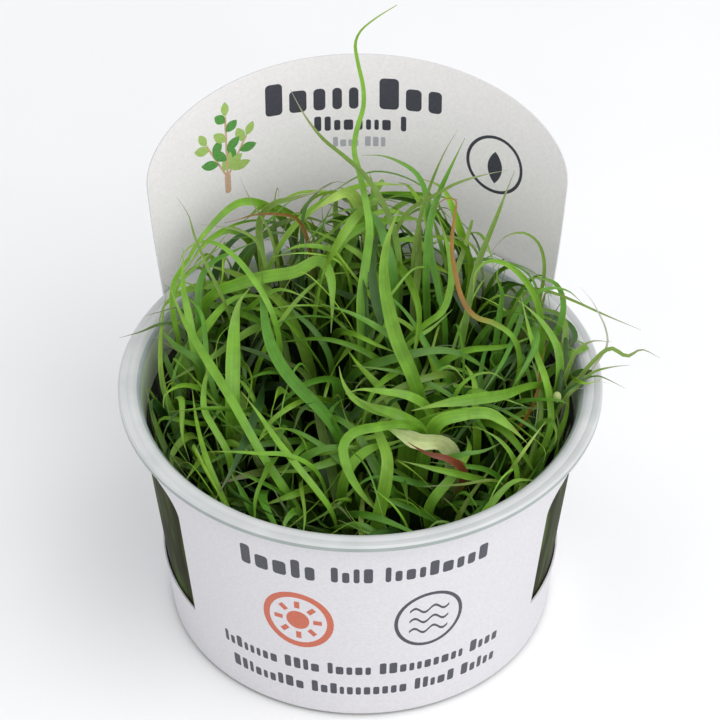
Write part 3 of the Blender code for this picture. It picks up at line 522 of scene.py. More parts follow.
def read_blade(width, pixels, used):
    """A blade along a route read from the photograph, carried down to a crown."""
    seen = [seen_point(*pixel) for pixel in pixels]
    shoot = nearest_free_crown(seen[0], used)
    used[shoot] += 1
    inside, above = crown_roots(shoot, seen[0])
    middle = above + (seen[0] - above) * (0.4, 0.4, 0.55)
    rays = [np.zeros(3)] * 3 + [view_ray(px, py) for px, py, _ in pixels]
    slack = [0.0, 0.0, 1.0] + [HAND_READ_SLACK] * len(pixels)
    return Blade(shoot, width * MM, [inside, above, middle, *seen], rays, slack)


def heap_height(_, y):
    """Height of the tangle of leaves, which rises towards the header and is level along x."""
    return HEAP_FRONT + HEAP_SLOPE * (y + MOUTH_RADIUS)


def pull_in(spot):
    """A place moved towards the cup's axis if it is too near the wall."""
    return spot * min(1.0, FILLER_SPREAD / np.linalg.norm(spot))


def bent_blade(shoot, draw, sizes, steps, top_at):
    """A blade that rises from its crown in steps and bends over near the top of the tangle."""
    foot = crown_place(shoot)
    turn = math.atan2(foot[1], foot[0]) + draw.uniform(-sizes["turn"], sizes["turn"])
    lean = heading(turn)
    reach = draw.uniform(*sizes["reach"]) * MM
    inside, above = crown_roots(shoot, foot + (*lean, 0.0))
    bend = pull_in(foot[:2] + lean * reach)
    top = top_at(*bend) - draw.uniform(*sizes["drop"]) * MM
    sweep = turn + draw.uniform(-SWEEP, SWEEP)
    tip = pull_in(bend + heading(sweep) * draw.uniform(*sizes["tip"]) * MM)
    points = [inside, above]
    for share, rise in steps:
        spot = foot[:2] + (bend - foot[:2]) * share
        points.append(np.array([*spot, above[2] + (top - above[2]) * rise]))
    if "rise" in sizes:
        points.append(np.array([*((bend + tip) / 2.0), top + draw.uniform(*sizes["rise"]) * MM]))
    points.append(np.array([*tip, top - draw.uniform(*sizes["tip_drop"]) * MM]))
    return free_blade(shoot, draw.uniform(*sizes["width"]) * MM, points)


def plan_blades():
    """The blades of the solids: the listed ones, then fillers up to each shoot's number."""
    used = [0] * SHOOT_COUNT
    blades = [read_blade(width, pixels, used) for _, width, pixels in LEAVES.values()]
    draw = np.random.default_rng(7)
    for shoot in range(SHOOT_COUNT):
        for _ in range(BLADES_PER_SHOOT - used[shoot]):
            blades.append(bent_blade(shoot, draw, FILLER, FILLER_STEPS, heap_height))
    return blades


def closest_on_segments(start_a, end_a, start_b, end_b):
    """Where each pair of segments comes closest, as shares along the two."""
    along_a = end_a - start_a
    along_b = end_b - start_b
    apart = start_a - start_b
    aa = np.einsum("ij,ij->i", along_a, along_a)
    bb = np.einsum("ij,ij->i", along_b, along_b)
    ab = np.einsum("ij,ij->i", along_a, along_b)
    ac = np.einsum("ij,ij->i", along_a, apart)
    bc = np.einsum("ij,ij->i", along_b, apart)
    spread = np.maximum(aa * bb - ab * ab, 1e-18)
    share_a = np.clip((ab * bc - ac * bb) / spread, 0.0, 1.0)
    share_b = np.clip((ab * share_a + bc) / bb, 0.0, 1.0)
    share_a = np.clip((ab * share_b - ac) / aa, 0.0, 1.0)
    return share_a, share_b


def keep_in_cup(points, half_widths):
    """Hold every point inside the wall, over the rim and before the header."""
    reach = np.hypot(points[:, 0], points[:, 1])
    room = inner_wall_radius(np.minimum(points[:, 2], CUP_HEIGHT)) - half_widths - 2.0 * GAP
    low = points[:, 2] < CUP_HEIGHT + half_widths
    inside = low & (reach > room) & (reach < OUTSIDE)
    points[inside, :2] *= (room[inside] / reach[inside])[:, None]
    over = low & (reach >= OUTSIDE)
    points[over, 2] = CUP_HEIGHT + half_widths[over] + GAP
    rise = np.maximum(points[:, 2] - CUP_HEIGHT, 0.0)
    radius = HEADER_RADIUS + HEADER_FLATTENING * rise
    axis_y = HEADER_RADIUS + HEADER_LEAN * rise - radius
    out = np.hypot(points[:, 0], points[:, 1] - axis_y)
    room = radius - half_widths - 3.0 * GAP
    near = (points[:, 1] > HEADER_ZONE) & (out > room) & (points[:, 2] < HEADER_TOP)
    points[near, 0] *= room[near] / out[near]
    points[near, 1] = axis_y[near] + (points[near, 1] - axis_y[near]) * room[near] / out[near]


def over_rim(route, half_width):
    """A route lifted where it would cut the cup's rim on its way out, with the climb eased."""
    reach = np.hypot(route[:, 0], route[:, 1])
    lowest = CUP_HEIGHT + half_width + CLEARANCE
    share = np.clip((reach - RIM_CLIMB_FROM) / (MOUTH_RADIUS - RIM_CLIMB_FROM), 0.0, 1.0)
    leaving = (route[:, 2] > OVER_RIM_FROM) & (reach.max() > MOUTH_RADIUS + 1.0 * MM)
    short = np.where(leaving, np.maximum(lowest - route[:, 2], 0.0), 0.0)
    lifted = route.copy()
    lifted[:, 2] += short * share * share * (3.0 - 2.0 * share)
    return lifted


def clear_of_wall(points):
    """Points of a swept blade, moved inside where they would still cut the cup's wall."""
    reach = np.hypot(points[:, 0], points[:, 1])
    room = inner_wall_radius(np.minimum(points[:, 2], CUP_HEIGHT)) - CLEARANCE
    inside = (points[:, 2] < CUP_HEIGHT) & (reach > room)
    points[inside, :2] *= (room[inside] / reach[inside])[:, None]
    return points


def settle(blades, rounds=SETTLE_ROUNDS, fixed=0):
    """Push blades of different shoots apart, until none touch or the rounds are over.

    Points read from the photograph move mostly along the view, and the first fixed blades stay where they
    are.
    """
    points = np.concatenate([blade.points for blade in blades])
    rays = np.concatenate([blade.rays for blade in blades])
    slack = np.concatenate([blade.slack for blade in blades])[:, None]
    half = np.concatenate([np.full(len(blade.points), blade.width / 2.0) for blade in blades])
    owner = np.concatenate([np.full(len(blade.points), i) for i, blade in enumerate(blades)])
    shoot = np.array([blade.shoot for blade in blades])[owner]
    first = np.flatnonzero(owner[:-1] == owner[1:])
    one, two = np.triu_indices(len(first), 1)
    other = (shoot[first[one]] != shoot[first[two]]) & (owner[first[two]] >= fixed)
    one, two = first[one[other]], first[two[other]]
    need = half[one] + half[two] + 1.6 * GAP
    for _ in range(rounds):
        length = np.linalg.norm(points[1:] - points[:-1], axis=1)
        centre = (points[1:] + points[:-1]) / 2.0
        gap = np.linalg.norm(centre[one] - centre[two], axis=1) - (length[one] + length[two]) / 2.0
        close = gap < need
        a, b = one[close], two[close]
        share_a, share_b = closest_on_segments(points[a], points[a + 1], points[b], points[b + 1])
        spot_a = points[a] + (points[a + 1] - points[a]) * share_a[:, None]
        spot_b = points[b] + (points[b + 1] - points[b]) * share_b[:, None]
        apart = spot_a - spot_b
        distance = np.linalg.norm(apart, axis=1)
        short = need[close] - distance
        hit = short > 0.0
        if not hit.any():
            break
        push = apart[hit] / np.maximum(distance[hit], 1e-9)[:, None] * (short[hit] * 0.6)[:, None]
        move = np.zeros_like(points)
        for node, share, way in ((a, 1.0 - share_a, 1.0), (a + 1, share_a, 1.0),
                                 (b, 1.0 - share_b, -1.0), (b + 1, share_b, -1.0)):
            np.add.at(move, node[hit], way * push * share[hit][:, None])
        along = rays * np.einsum("ij,ij->i", move, rays)[:, None]
        points += np.where(owner < fixed, 0.0, 1.0)[:, None] * (slack * move + (1.0 - slack) * along)
        keep_in_cup(points, half)
    ends = np.cumsum([len(blade.points) for blade in blades])[:-1]
    for blade, route in zip(blades, np.split(points, ends)):
        blade.points = route


def taper(share, start, power):
    """Width of a blade along its length, as a share of its widest."""
    towards_tip = max(0.0, share - start) / (1.0 - start)
    return max(TIP_SHARE, min(1.0, 0.8 + share) * (1.0 - (1.0 - TIP_SHARE) * towards_tip ** power))


# Materials

# Noise seldom leaves this range
NOISE_LOW = 0.3
NOISE_HIGH = 0.7


class Look:
    """A Principled material and the nodes that vary it."""

    def __init__(self, name, roughness=0.5):
        self.material = bpy.data.materials.new(name)
        self.material.use_nodes = True
        self.tree = self.material.node_tree
        self.shader = self.tree.nodes["Principled BSDF"]
        self.shader.inputs["Roughness"].default_value = roughness
        self.place = self.tree.nodes.new("ShaderNodeTexCoord").outputs["Object"]

    def set(self, **values):
        for name, value in values.items():
            self.shader.inputs[name.replace("_", " ")].default_value = value

    def node(self, kind, output, values, **sources):
        """The output of a new node, with its values and what feeds it by the name of the input."""
        made = self.tree.nodes.new("ShaderNode" + kind)
        for name, value in values.items():
            made.inputs[name].default_value = value
        for name, source in sources.items():
            self.tree.links.new(source, made.inputs[name])
        return made.outputs[output]

    def noise(self, size, detail=3.0, stretch=(1.0, 1.0, 1.0)):
        """Noise with features of a real size, in metres."""
        scaled = self.node("Mapping", "Vector", {"Scale": [part / size for part in stretch]},
                           Vector=self.place)
        return self.node("TexNoise", "Fac", {"Scale": 1.0, "Detail": detail}, Vector=scaled)

    def cloud(self, socket, source, low, high):
        """Drive one of the shader's values by noise."""
        self.drive(socket, self.remap(source, low, high))

    def ramp(self, source, stops):
        """Colours, given as 0 to 255, along a value."""
        node = self.tree.nodes.new("ShaderNodeValToRGB")
        line = node.color_ramp.elements
        while len(line) < len(stops):
            line.new(0.5)
        for element, (place, colour) in zip(line, stops):
            element.position = place
            element.color = (*linear(colour), 1.0)
        self.tree.links.new(source, node.inputs["Fac"])
        return node.outputs["Color"]

    def remap(self, source, low, high):
        """A value that runs from low to high over the noise's usual range."""
        ends = {"From Min": NOISE_LOW, "From Max": NOISE_HIGH, "To Min": low, "To Max": high}
        return self.node("MapRange", "Result", ends, Value=source)

    def multiply(self, one, two):
        node = self.tree.nodes.new("ShaderNodeMix")
        node.data_type = "RGBA"
        node.blend_type = "MULTIPLY"
        node.inputs["Factor"].default_value = 1.0
        self.tree.links.new(one, node.inputs["A"])
        self.tree.links.new(two, node.inputs["B"])
        return node.outputs["Result"]

    def attribute(self, name, output="Color"):
        node = self.tree.nodes.new("ShaderNodeAttribute")
        node.attribute_name = name
        return node.outputs[output]

    def drive(self, socket, source):
        self.tree.links.new(source, self.shader.inputs[socket])

    def bump(self, source, height, strength):
        self.drive("Normal", self.node("Bump", "Normal", {"Distance": height, "Strength": strength},
                                       Height=source))


def grained_look(name, roughness, size, detail, dark, light):
    """A look between two colours, by noise of a size in mm. Also returns the noise."""
    look = Look(name, roughness)
    grain = look.noise(size * MM, detail)
    look.drive("Base Color", look.ramp(grain, ((NOISE_LOW, dark), (NOISE_HIGH, light))))
    return look, grain


def card_look(name, dark, light):
    """White card, faintly fibrous."""
    look, fibre = grained_look(name, 0.5, 0.7, 4.0, dark, light)
    look.cloud("Roughness", fibre, 0.46, 0.56)
    look.bump(fibre, 0.02 * MM, 0.4)
    return look.material


def ink_look(name, dark, light):
    """Printed ink: slightly uneven where the card's grain shows through."""
    look, grain = grained_look(name, 0.42, 0.35, 3.0, dark, light)
    look.cloud("Roughness", grain, 0.38, 0.48)
    return look.material


# Cup plastics: roughness, size of the clouds in mm, two colours, and what else the clouds vary
PLASTICS = {
    # The upper wall's light green is painted glow and reflection from the leaves
    "hazy_wall_painted_glow": (0.3, 10.0, (206, 222, 188), (222, 234, 206), "Alpha", 0.74, 0.84),
    "bluish_step": (0.2, 9.0, (170, 180, 182), (184, 193, 194), "Alpha", 0.85, 0.95),
    "milky_flange": (0.34, 9.0, (195, 197, 197), (208, 210, 209), "Roughness", 0.3, 0.4),
    # The lip is the flange's milky plastic painted darker, as painted shade on its outer face
    "milky_lip_painted_shade": (0.34, 9.0, (150, 160, 156), (162, 171, 167), "Roughness", 0.3, 0.4),
}


def plastic_look(name):
    """One of the cup's plastics: the upper wall's light green is painted glow and reflection from the leaves
    over its haze, the flange is milky, and its lip is the same milky plastic painted darker as painted shade.
    """
    roughness, size, dark, light, socket, low, high = PLASTICS[name]
    look, cloud = grained_look(name, roughness, size, 2.0, dark, light)
    look.cloud(socket, cloud, low, high)
    return look.material


def shaded_leafy_wall_look():
    """Thin clear plastic, wet inside, painted nearly opaque dark olive: painted shade of the cup's dark
    inside, streaked like the mass of leaves pressed against it.
    """
    look = Look("leafy_wall_painted_shade", 0.45)
    leaves = look.noise(3.0 * MM, 3.0, (1.0, 1.0, 0.16))
    look.drive("Base Color", look.ramp(leaves, ((NOISE_LOW, (34, 33, 18)), (0.5, (50, 54, 26)),
                                                (NOISE_HIGH, (76, 100, 42)))))
    look.cloud("Alpha", leaves, 0.97, 0.86)
    look.set(Specular_IOR_Level=0.02)
    return look.material


def gel_look():
    """Wet brownish nutrient gel."""
    look, cloud = grained_look("nutrient_gel", 0.18, 5.0, 4.0, (58, 54, 30), (92, 86, 50))
    look.cloud("Roughness", cloud, 0.12, 0.3)
    look.bump(look.noise(2.0 * MM, 3.0), 0.3 * MM, 0.5)
    return look.material


def leaf_look():
    """Thin green leaf: tinted along its length, with fine lengthwise veins."""
    look = Look("rush_leaf", 0.4)
    blotch = look.noise(3.5 * MM, 3.0)
    shade = look.ramp(blotch, ((NOISE_LOW, (214, 218, 206)), (NOISE_HIGH, (255, 255, 255))))
    tinted = look.multiply(look.attribute("leaf_tint"), shade)
    veins = look.tree.nodes.new("ShaderNodeMath")
    veins.operation = "SINE"
    look.tree.links.new(look.attribute("leaf_across", "Fac"), veins.inputs[0])
    lined = look.ramp(look.remap(veins.outputs["Value"], 0.0, 1.0),
                      ((0.0, (244, 246, 238)), (1.0, (255, 255, 255))))
    look.drive("Base Color", look.multiply(tinted, lined))
    look.cloud("Roughness", blotch, 0.4, 0.52)
    look.set(Specular_IOR_Level=0.35, Subsurface_Weight=0.25, Subsurface_Scale=0.6 * MM,
             Subsurface_Radius=(0.7, 1.0, 0.3))
    return look.material


def floor_look():
    return grained_look("pale_floor", 0.9, 60.0, 2.0, (249, 249, 249), (252, 252, 252))[0].material


# Meshes

def add_piece(name, points, faces, looks, slots=None, smooth=True):
    """A mesh object in the scene, with one material or several by face."""
    mesh = bpy.data.meshes.new(name)
    mesh.from_pydata([tuple(point) for point in points], [], faces)
    for look in looks:
        mesh.materials.append(look)
    if slots is not None:
        mesh.polygons.foreach_set("material_index", slots)
    if smooth:
        mesh.shade_smooth()
    mesh.update()
    obj = bpy.data.objects.new(name, mesh)
    bpy.context.scene.collection.objects.link(obj)
    return obj


def turned(name, profile, looks, slot_of, steps=TURNED_STEPS):
    """A solid of revolution. The profile starts and ends on the axis."""
    points = [(0.0, 0.0, profile[0][1])]
    inner = profile[1:-1]
    for r, z in inner:
        points += [(r * math.cos(turn), r * math.sin(turn), z) for turn in angles_round(steps)]
    points.append((0.0, 0.0, profile[-1][1]))
    last = len(points) - 1
    faces = []
    slots = []
    for step in range(steps):
        following = (step + 1) % steps
        faces.append((0, 1 + step, 1 + following))
        for i in range(len(inner) - 1):
            a = 1 + i * steps
            b = a + steps
            faces.append((a + step, b + step, b + following, a + following))
        a = 1 + (len(inner) - 1) * steps
        faces.append((a + step, last, a + following))
        slots += [slot_of(i) for i in range(len(inner) + 1)]
    obj = add_piece(name, points, faces, looks, slots)
    obj.data.set_sharp_from_angle(angle=TURNED_SHARP)
    return obj


def dress(piece, node):
    """Hide the solid's node that a piece stands in for, and put the piece on the one body. Nothing moves."""
    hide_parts(node)
    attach(piece, "root")


def make_cup():
    """The cup, with a plastic for each zone of its wall and flange."""
    profile = cup_profile()

    def slot_of(index):
        (r_one, z_one), (r_two, z_two) = profile[index:index + 2]
        lowest = min(z_one, z_two)
        # The lower wall, floor and base take the dark olive painted shade
        if max(z_one, z_two) <= SHADED_WALL_TOP:
            return 0
        if lowest < CUP_HEIGHT - 3.0 * MM:
            return 1
        if max(r_one, r_two) <= STEP_RADIUS:
            return 2
        # The lip's outer face takes the flange's plastic painted darker, as painted shade
        return 4 if min(r_one, r_two) >= RIM_RADIUS and lowest < CUP_HEIGHT - 0.5 * MM else 3

    looks = [shaded_leafy_wall_look()] + [plastic_look(name) for name in PLASTICS]
    dress(turned("cup_shell", profile, looks, slot_of), "cup")


def make_gel():
    """Gel with a slight meniscus against the wall."""
    bottom = FLOOR + GAP
    top = bottom + GEL_DEPTH
    edge = inner_wall_radius(top) - 2.0 * GAP
    profile = [(0.0, top - 0.5 * MM), (edge * 0.6, top - 0.45 * MM), (edge * 0.93, top - 0.3 * MM),
               (edge, top), (inner_wall_radius(bottom) - 1.4 * MM, bottom), (0.0, bottom)]
    dress(turned("gel_layer", profile, [gel_look()], lambda index: 0, GEL_STEPS), "growth_gel")


# Card sleeve. The flat card is laid out as arc length from the middle of the front, and height.

LEFT_END = -0.5 * math.pi * HEADER_RADIUS
RIGHT_END = 1.5 * math.pi * HEADER_RADIUS
RIGHT_MIDDLE = 0.5 * math.pi * HEADER_RADIUS
REAR_MIDDLE = math.pi * HEADER_RADIUS


def card_point(along, z):
    """Point on the wrapped card's inner face."""
    width = REAR_MIDDLE - along
    if abs(width) > HEADER_HALF_WIDTH + 0.2 * MM:
        radius = card_radius(z)
        angle = along / HEADER_RADIUS
        return Vector((radius * math.sin(angle), -radius * math.cos(angle), z))
    if z < CUP_HEIGHT:
        return Vector((*tab_point(width, z), z))
    return Vector((*header_point(width, z), z))


def card_normal(along, z):
    """Direction out of the card's outer face."""
    step = 0.05 * MM
    round_the_card = card_point(along + step, z) - card_point(along - step, z)
    upward = card_point(along, z + step) - card_point(along, z - step)
    return round_the_card.cross(upward).normalized()


def divided(path, closed=True):
    """A path with points added so that no step is longer than a cell of the card."""
    result = []
    ends = path[1:] + path[:1] if closed else path[1:]
    for (x, z), (next_x, next_z) in zip(path, ends):
        steps = max(1, math.ceil(math.hypot(next_x - x, next_z - z) / CARD_CELL - 1e-6))
        for i in range(steps):
            share = i / steps
            result.append((x + (next_x - x) * share, z + (next_z - z) * share))
    if not closed:
        result.append(path[-1])
    return result


def window_half(side):
    """Half of a window's edge, bottom to top, as arc length from its middle and height."""
    top = WINDOW_TOPS[side]
    low = card_radius(WINDOW_BOTTOM) * math.sin(WINDOW_HALF_ANGLES[side])
    high = card_radius(top) * math.sin(WINDOW_HALF_ANGLES[side])
    corner = []
    for step in range(CORNER_STEPS + 1):
        turn = math.radians(90.0 / CORNER_STEPS * step)
        corner.append((high - WINDOW_CORNER * (1.0 - math.cos(turn)),
                       top - WINDOW_CORNER * (1.0 - math.sin(turn))))
    path = divided([(0.0, WINDOW_BOTTOM), (low, WINDOW_BOTTOM), *corner, (0.0, top)], False)
    return [(HEADER_RADIUS * math.asin(y / (card_radius(z) + CARD / 2.0)), z) for y, z in path]


def header_outline():
    """The header's rounded edge, from the tab's left side over the top to its right side."""
    widths = [-HEADER_HALF_WIDTH * math.cos(math.pi * i / HEADER_STEPS) for i in range(HEADER_STEPS + 1)]
    return [(REAR_MIDDLE - width, header_edge(width)) for width in widths]


def blank_outline():
    """The card's outer edge, with half of the left window cut into each of its ends."""
    slit = SLIT_ANGLE * HEADER_RADIUS
    tab_right = REAR_MIDDLE - HEADER_HALF_WIDTH
    tab_left = REAR_MIDDLE + HEADER_HALF_WIDTH
    left_window = window_half("left")
    path = [(LEFT_END, SLEEVE_BOTTOM), (RIGHT_END, SLEEVE_BOTTOM)]
    path += [(RIGHT_END - off, z) for off, z in left_window]
    path += [(RIGHT_END, SLEEVE_TOP), (tab_left + slit, SLEEVE_TOP), (tab_left + slit, SLIT_BOTTOM),
             (tab_left, SLIT_BOTTOM)]
    path += header_outline()
    path += [(tab_right, SLIT_BOTTOM), (tab_right - slit, SLIT_BOTTOM),
             (tab_right - slit, SLEEVE_TOP), (LEFT_END, SLEEVE_TOP)]
    path += [(LEFT_END + off, z) for off, z in reversed(left_window)]
    return divided(path)


def right_window_outline():
    half = window_half("right")
    return ([(RIGHT_MIDDLE + off, z) for off, z in half]
            + [(RIGHT_MIDDLE - off, z) for off, z in reversed(half[1:-1])])


# Printed shapes, in mm on the card: x to the reader's right, z up. A row of bars has its ink, middle,
# length and height, and the seed of its draw.

FRONT_ROWS = (("dark", -18.5, 46.3, 20.0, 5.8, 1), ("dark", 11.5, 46.0, 37.5, 4.6, 2),
              ("dark", 1.0, 15.8, 76.0, 3.6, 3), ("dark", 1.0, 9.2, 72.0, 3.6, 4))
HEADER_ROWS = (("dark", 1.0, 90.6, 41.0, 7.4, 5), ("dark", 1.0, 83.6, 20.0, 3.6, 6),
               ("grey", 1.0, 79.0, 12.0, 2.4, 7))
FAINT_ROWS = tuple(("grey", -20.0, 51.0 - 3.6 * row, 24.0, 1.9, 20 + row) for row in range(6))
SUN_BADGE = (-15.5, 30.0)
WATER_BADGE = (15.5, 30.0)
LEAF_BADGE = (30.5, 78.0)
SPRIG_FOOT = (-28.5, 75.0)
SPRIG_STEMS = ((62.0, 4), (118.0, 4), (90.0, 6))
SPRIG_PITCH = 2.2

# Bars of a row, as shares of its height, and the chance that a group of more than three bars ends
BAR_WIDTHS = (0.26, 0.56)
BAR_HEIGHTS = (0.7, 0.7, 0.7, 0.7, 0.96)
BAR_CORNER = 0.13
BAR_CORNER_STEPS = 4
BAR_GAP = 0.2
GROUP_GAP = 0.4
GROUP_OVER = 3
GROUP_ENDS = 0.3


def rounded_bar(x, z, width, height, corner=None):
    """A bar with rounded corners, given by its middle."""
    corner = min(width, height) / 2.0 if corner is None else corner
    points = []
    for turn, sx, sz in ((0.0, 1, 1), (90.0, -1, 1), (180.0, -1, -1), (270.0, 1, -1)):
        for step in range(BAR_CORNER_STEPS + 1):
            angle = math.radians(turn + 90.0 / BAR_CORNER_STEPS * step)
            points.append((x + sx * (width / 2.0 - corner) + corner * math.cos(angle),
                           z + sz * (height / 2.0 - corner) + corner * math.sin(angle)))
    return points


def disc(x, z, radius, sides=40):
    return [(x + radius * math.cos(turn), z + radius * math.sin(turn)) for turn in angles_round(sides)]


def lens(x, z, length, width, angle):
    """A pointed leaf shape growing from (x, z) at an angle in degrees."""
    lean = math.radians(angle)
    steps = 10
    outline = []
    for way in (1.0, -1.0):
        for i in range(steps):
            share = i / steps if way > 0 else 1.0 - i / steps
            along = length * share
            across = way * width / 2.0 * math.sin(math.pi * share) ** 0.8 if 0.0 < share < 1.0 else 0.0
            outline.append((x + along * math.cos(lean) - across * math.sin(lean),
                            z + along * math.sin(lean) + across * math.cos(lean)))
    return outline


def ray(x, z, start, end, thickness, angle):
    """A short bar pointing away from (x, z)."""
    lean = math.radians(angle)
    along = (math.cos(lean), math.sin(lean))
    corners = ((start, -0.5), (end, -0.5), (end, 0.5), (start, 0.5))
    return [(x + reach * along[0] - way * thickness * along[1],
             z + reach * along[1] + way * thickness * along[0]) for reach, way in corners]


def wave(x, z, length, swing, thickness):
    """A wavy line, given by its middle."""
    steps = 24
    upper = []
    lower = []
    for i in range(steps + 1):
        across = length * (i / steps - 0.5)
        height = swing * math.sin(4.0 * math.pi * i / steps)
        upper.append((x + across, z + height + thickness / 2.0))
        lower.append((x + across, z + height - thickness / 2.0))
    return lower + upper[::-1]


def bar_row(x, z, length, height, seed):
    """A row of upright bars in groups, at the scale of a line of print."""
    draw = np.random.default_rng(seed)
    bars = []
    at = x - length / 2.0
    end = x + length / 2.0
    group = 0
    while True:
        width = height * draw.uniform(*BAR_WIDTHS)
        tall = height * (1.0 if group == 0 else draw.choice(BAR_HEIGHTS))
        if at + width > end:
            return bars
        bars.append(rounded_bar(at + width / 2.0, z + (tall - height) / 2.0, width, tall,
                                BAR_CORNER * height))
        group += 1
        at += width + BAR_GAP * height
        if group > GROUP_OVER and draw.uniform() < GROUP_ENDS:
            at += GROUP_GAP * height
            group = 0


def anticlockwise(outline):
    ends = outline[1:] + outline[:1]
    area = sum(x * next_z - next_x * z for (x, z), (next_x, next_z) in zip(outline, ends))
    return outline if area > 0.0 else outline[::-1]


def sprig(x, z, lean, pairs):
    """A stem with leaves on alternate sides and one at its tip, at an angle in degrees."""
    along = (math.cos(math.radians(lean)), math.sin(math.radians(lean)))
    length = SPRIG_PITCH * pairs + 1.0
    shapes = [("tan", ray(x, z, 0.0, length, 0.5, lean))]
    for i in range(pairs):
        reach = 1.8 + SPRIG_PITCH * i
        side = 50.0 if i % 2 else -50.0
        shapes.append(("green" if i % 3 else "light green",
                       lens(x + reach * along[0], z + reach * along[1], 4.6 - 0.3 * i, 2.2, lean + side)))
    shapes.append(("light green", lens(x + length * along[0], z + length * along[1], 3.4, 1.8, lean)))
    return shapes


def print_rows(rows):
    return [(ink, bar) for ink, *layout in rows for bar in bar_row(*layout)]


def front_print():
    """The front label: ink and outline of each shape, later ones over earlier ones."""
    shapes = print_rows(FRONT_ROWS)
    shapes += [("orange", disc(*SUN_BADGE, 8.6)), ("card", disc(*SUN_BADGE, 7.0))]
    shapes += [("orange", disc(*SUN_BADGE, 2.8))]
    shapes += [("orange", ray(*SUN_BADGE, 3.7, 5.8, 1.3, 45.0 * i)) for i in range(8)]
    shapes += [("dark", disc(*WATER_BADGE, 8.4)), ("card", disc(*WATER_BADGE, 7.5))]
    shapes += [("dark", wave(WATER_BADGE[0], z, 9.6, 0.8, 0.75)) for z in (26.8, 30.0, 33.2)]
    return shapes


def header_print():
    """The header's print, on its inner face, and faint rows lower down behind the leaves."""
    x, z = SPRIG_FOOT
    shapes = print_rows(HEADER_ROWS) + [("tan", rounded_bar(x, z - 1.4, 1.4, 4.6))]
    for lean, count in SPRIG_STEMS:
        shapes += sprig(x, z, lean, count)
    x, z = LEAF_BADGE
    shapes += [("dark", disc(x, z, 6.6)), ("card", disc(x, z, 5.9))]
    shapes += [("dark", lens(x, z - 4.4, 7.4, 3.4, 90.0))]
    return shapes + print_rows(FAINT_ROWS)


INKS = {
    "card": None,
    "dark": ((58, 58, 68), (72, 72, 82)),
    "orange": ((190, 92, 66), (204, 108, 80)),
    "grey": ((168, 168, 176), (186, 186, 192)),
    "green": ((74, 138, 62), (104, 166, 84)),
    "light green": ((150, 184, 92), (176, 204, 118)),
    "tan": ((196, 160, 132), (212, 180, 152)),
}


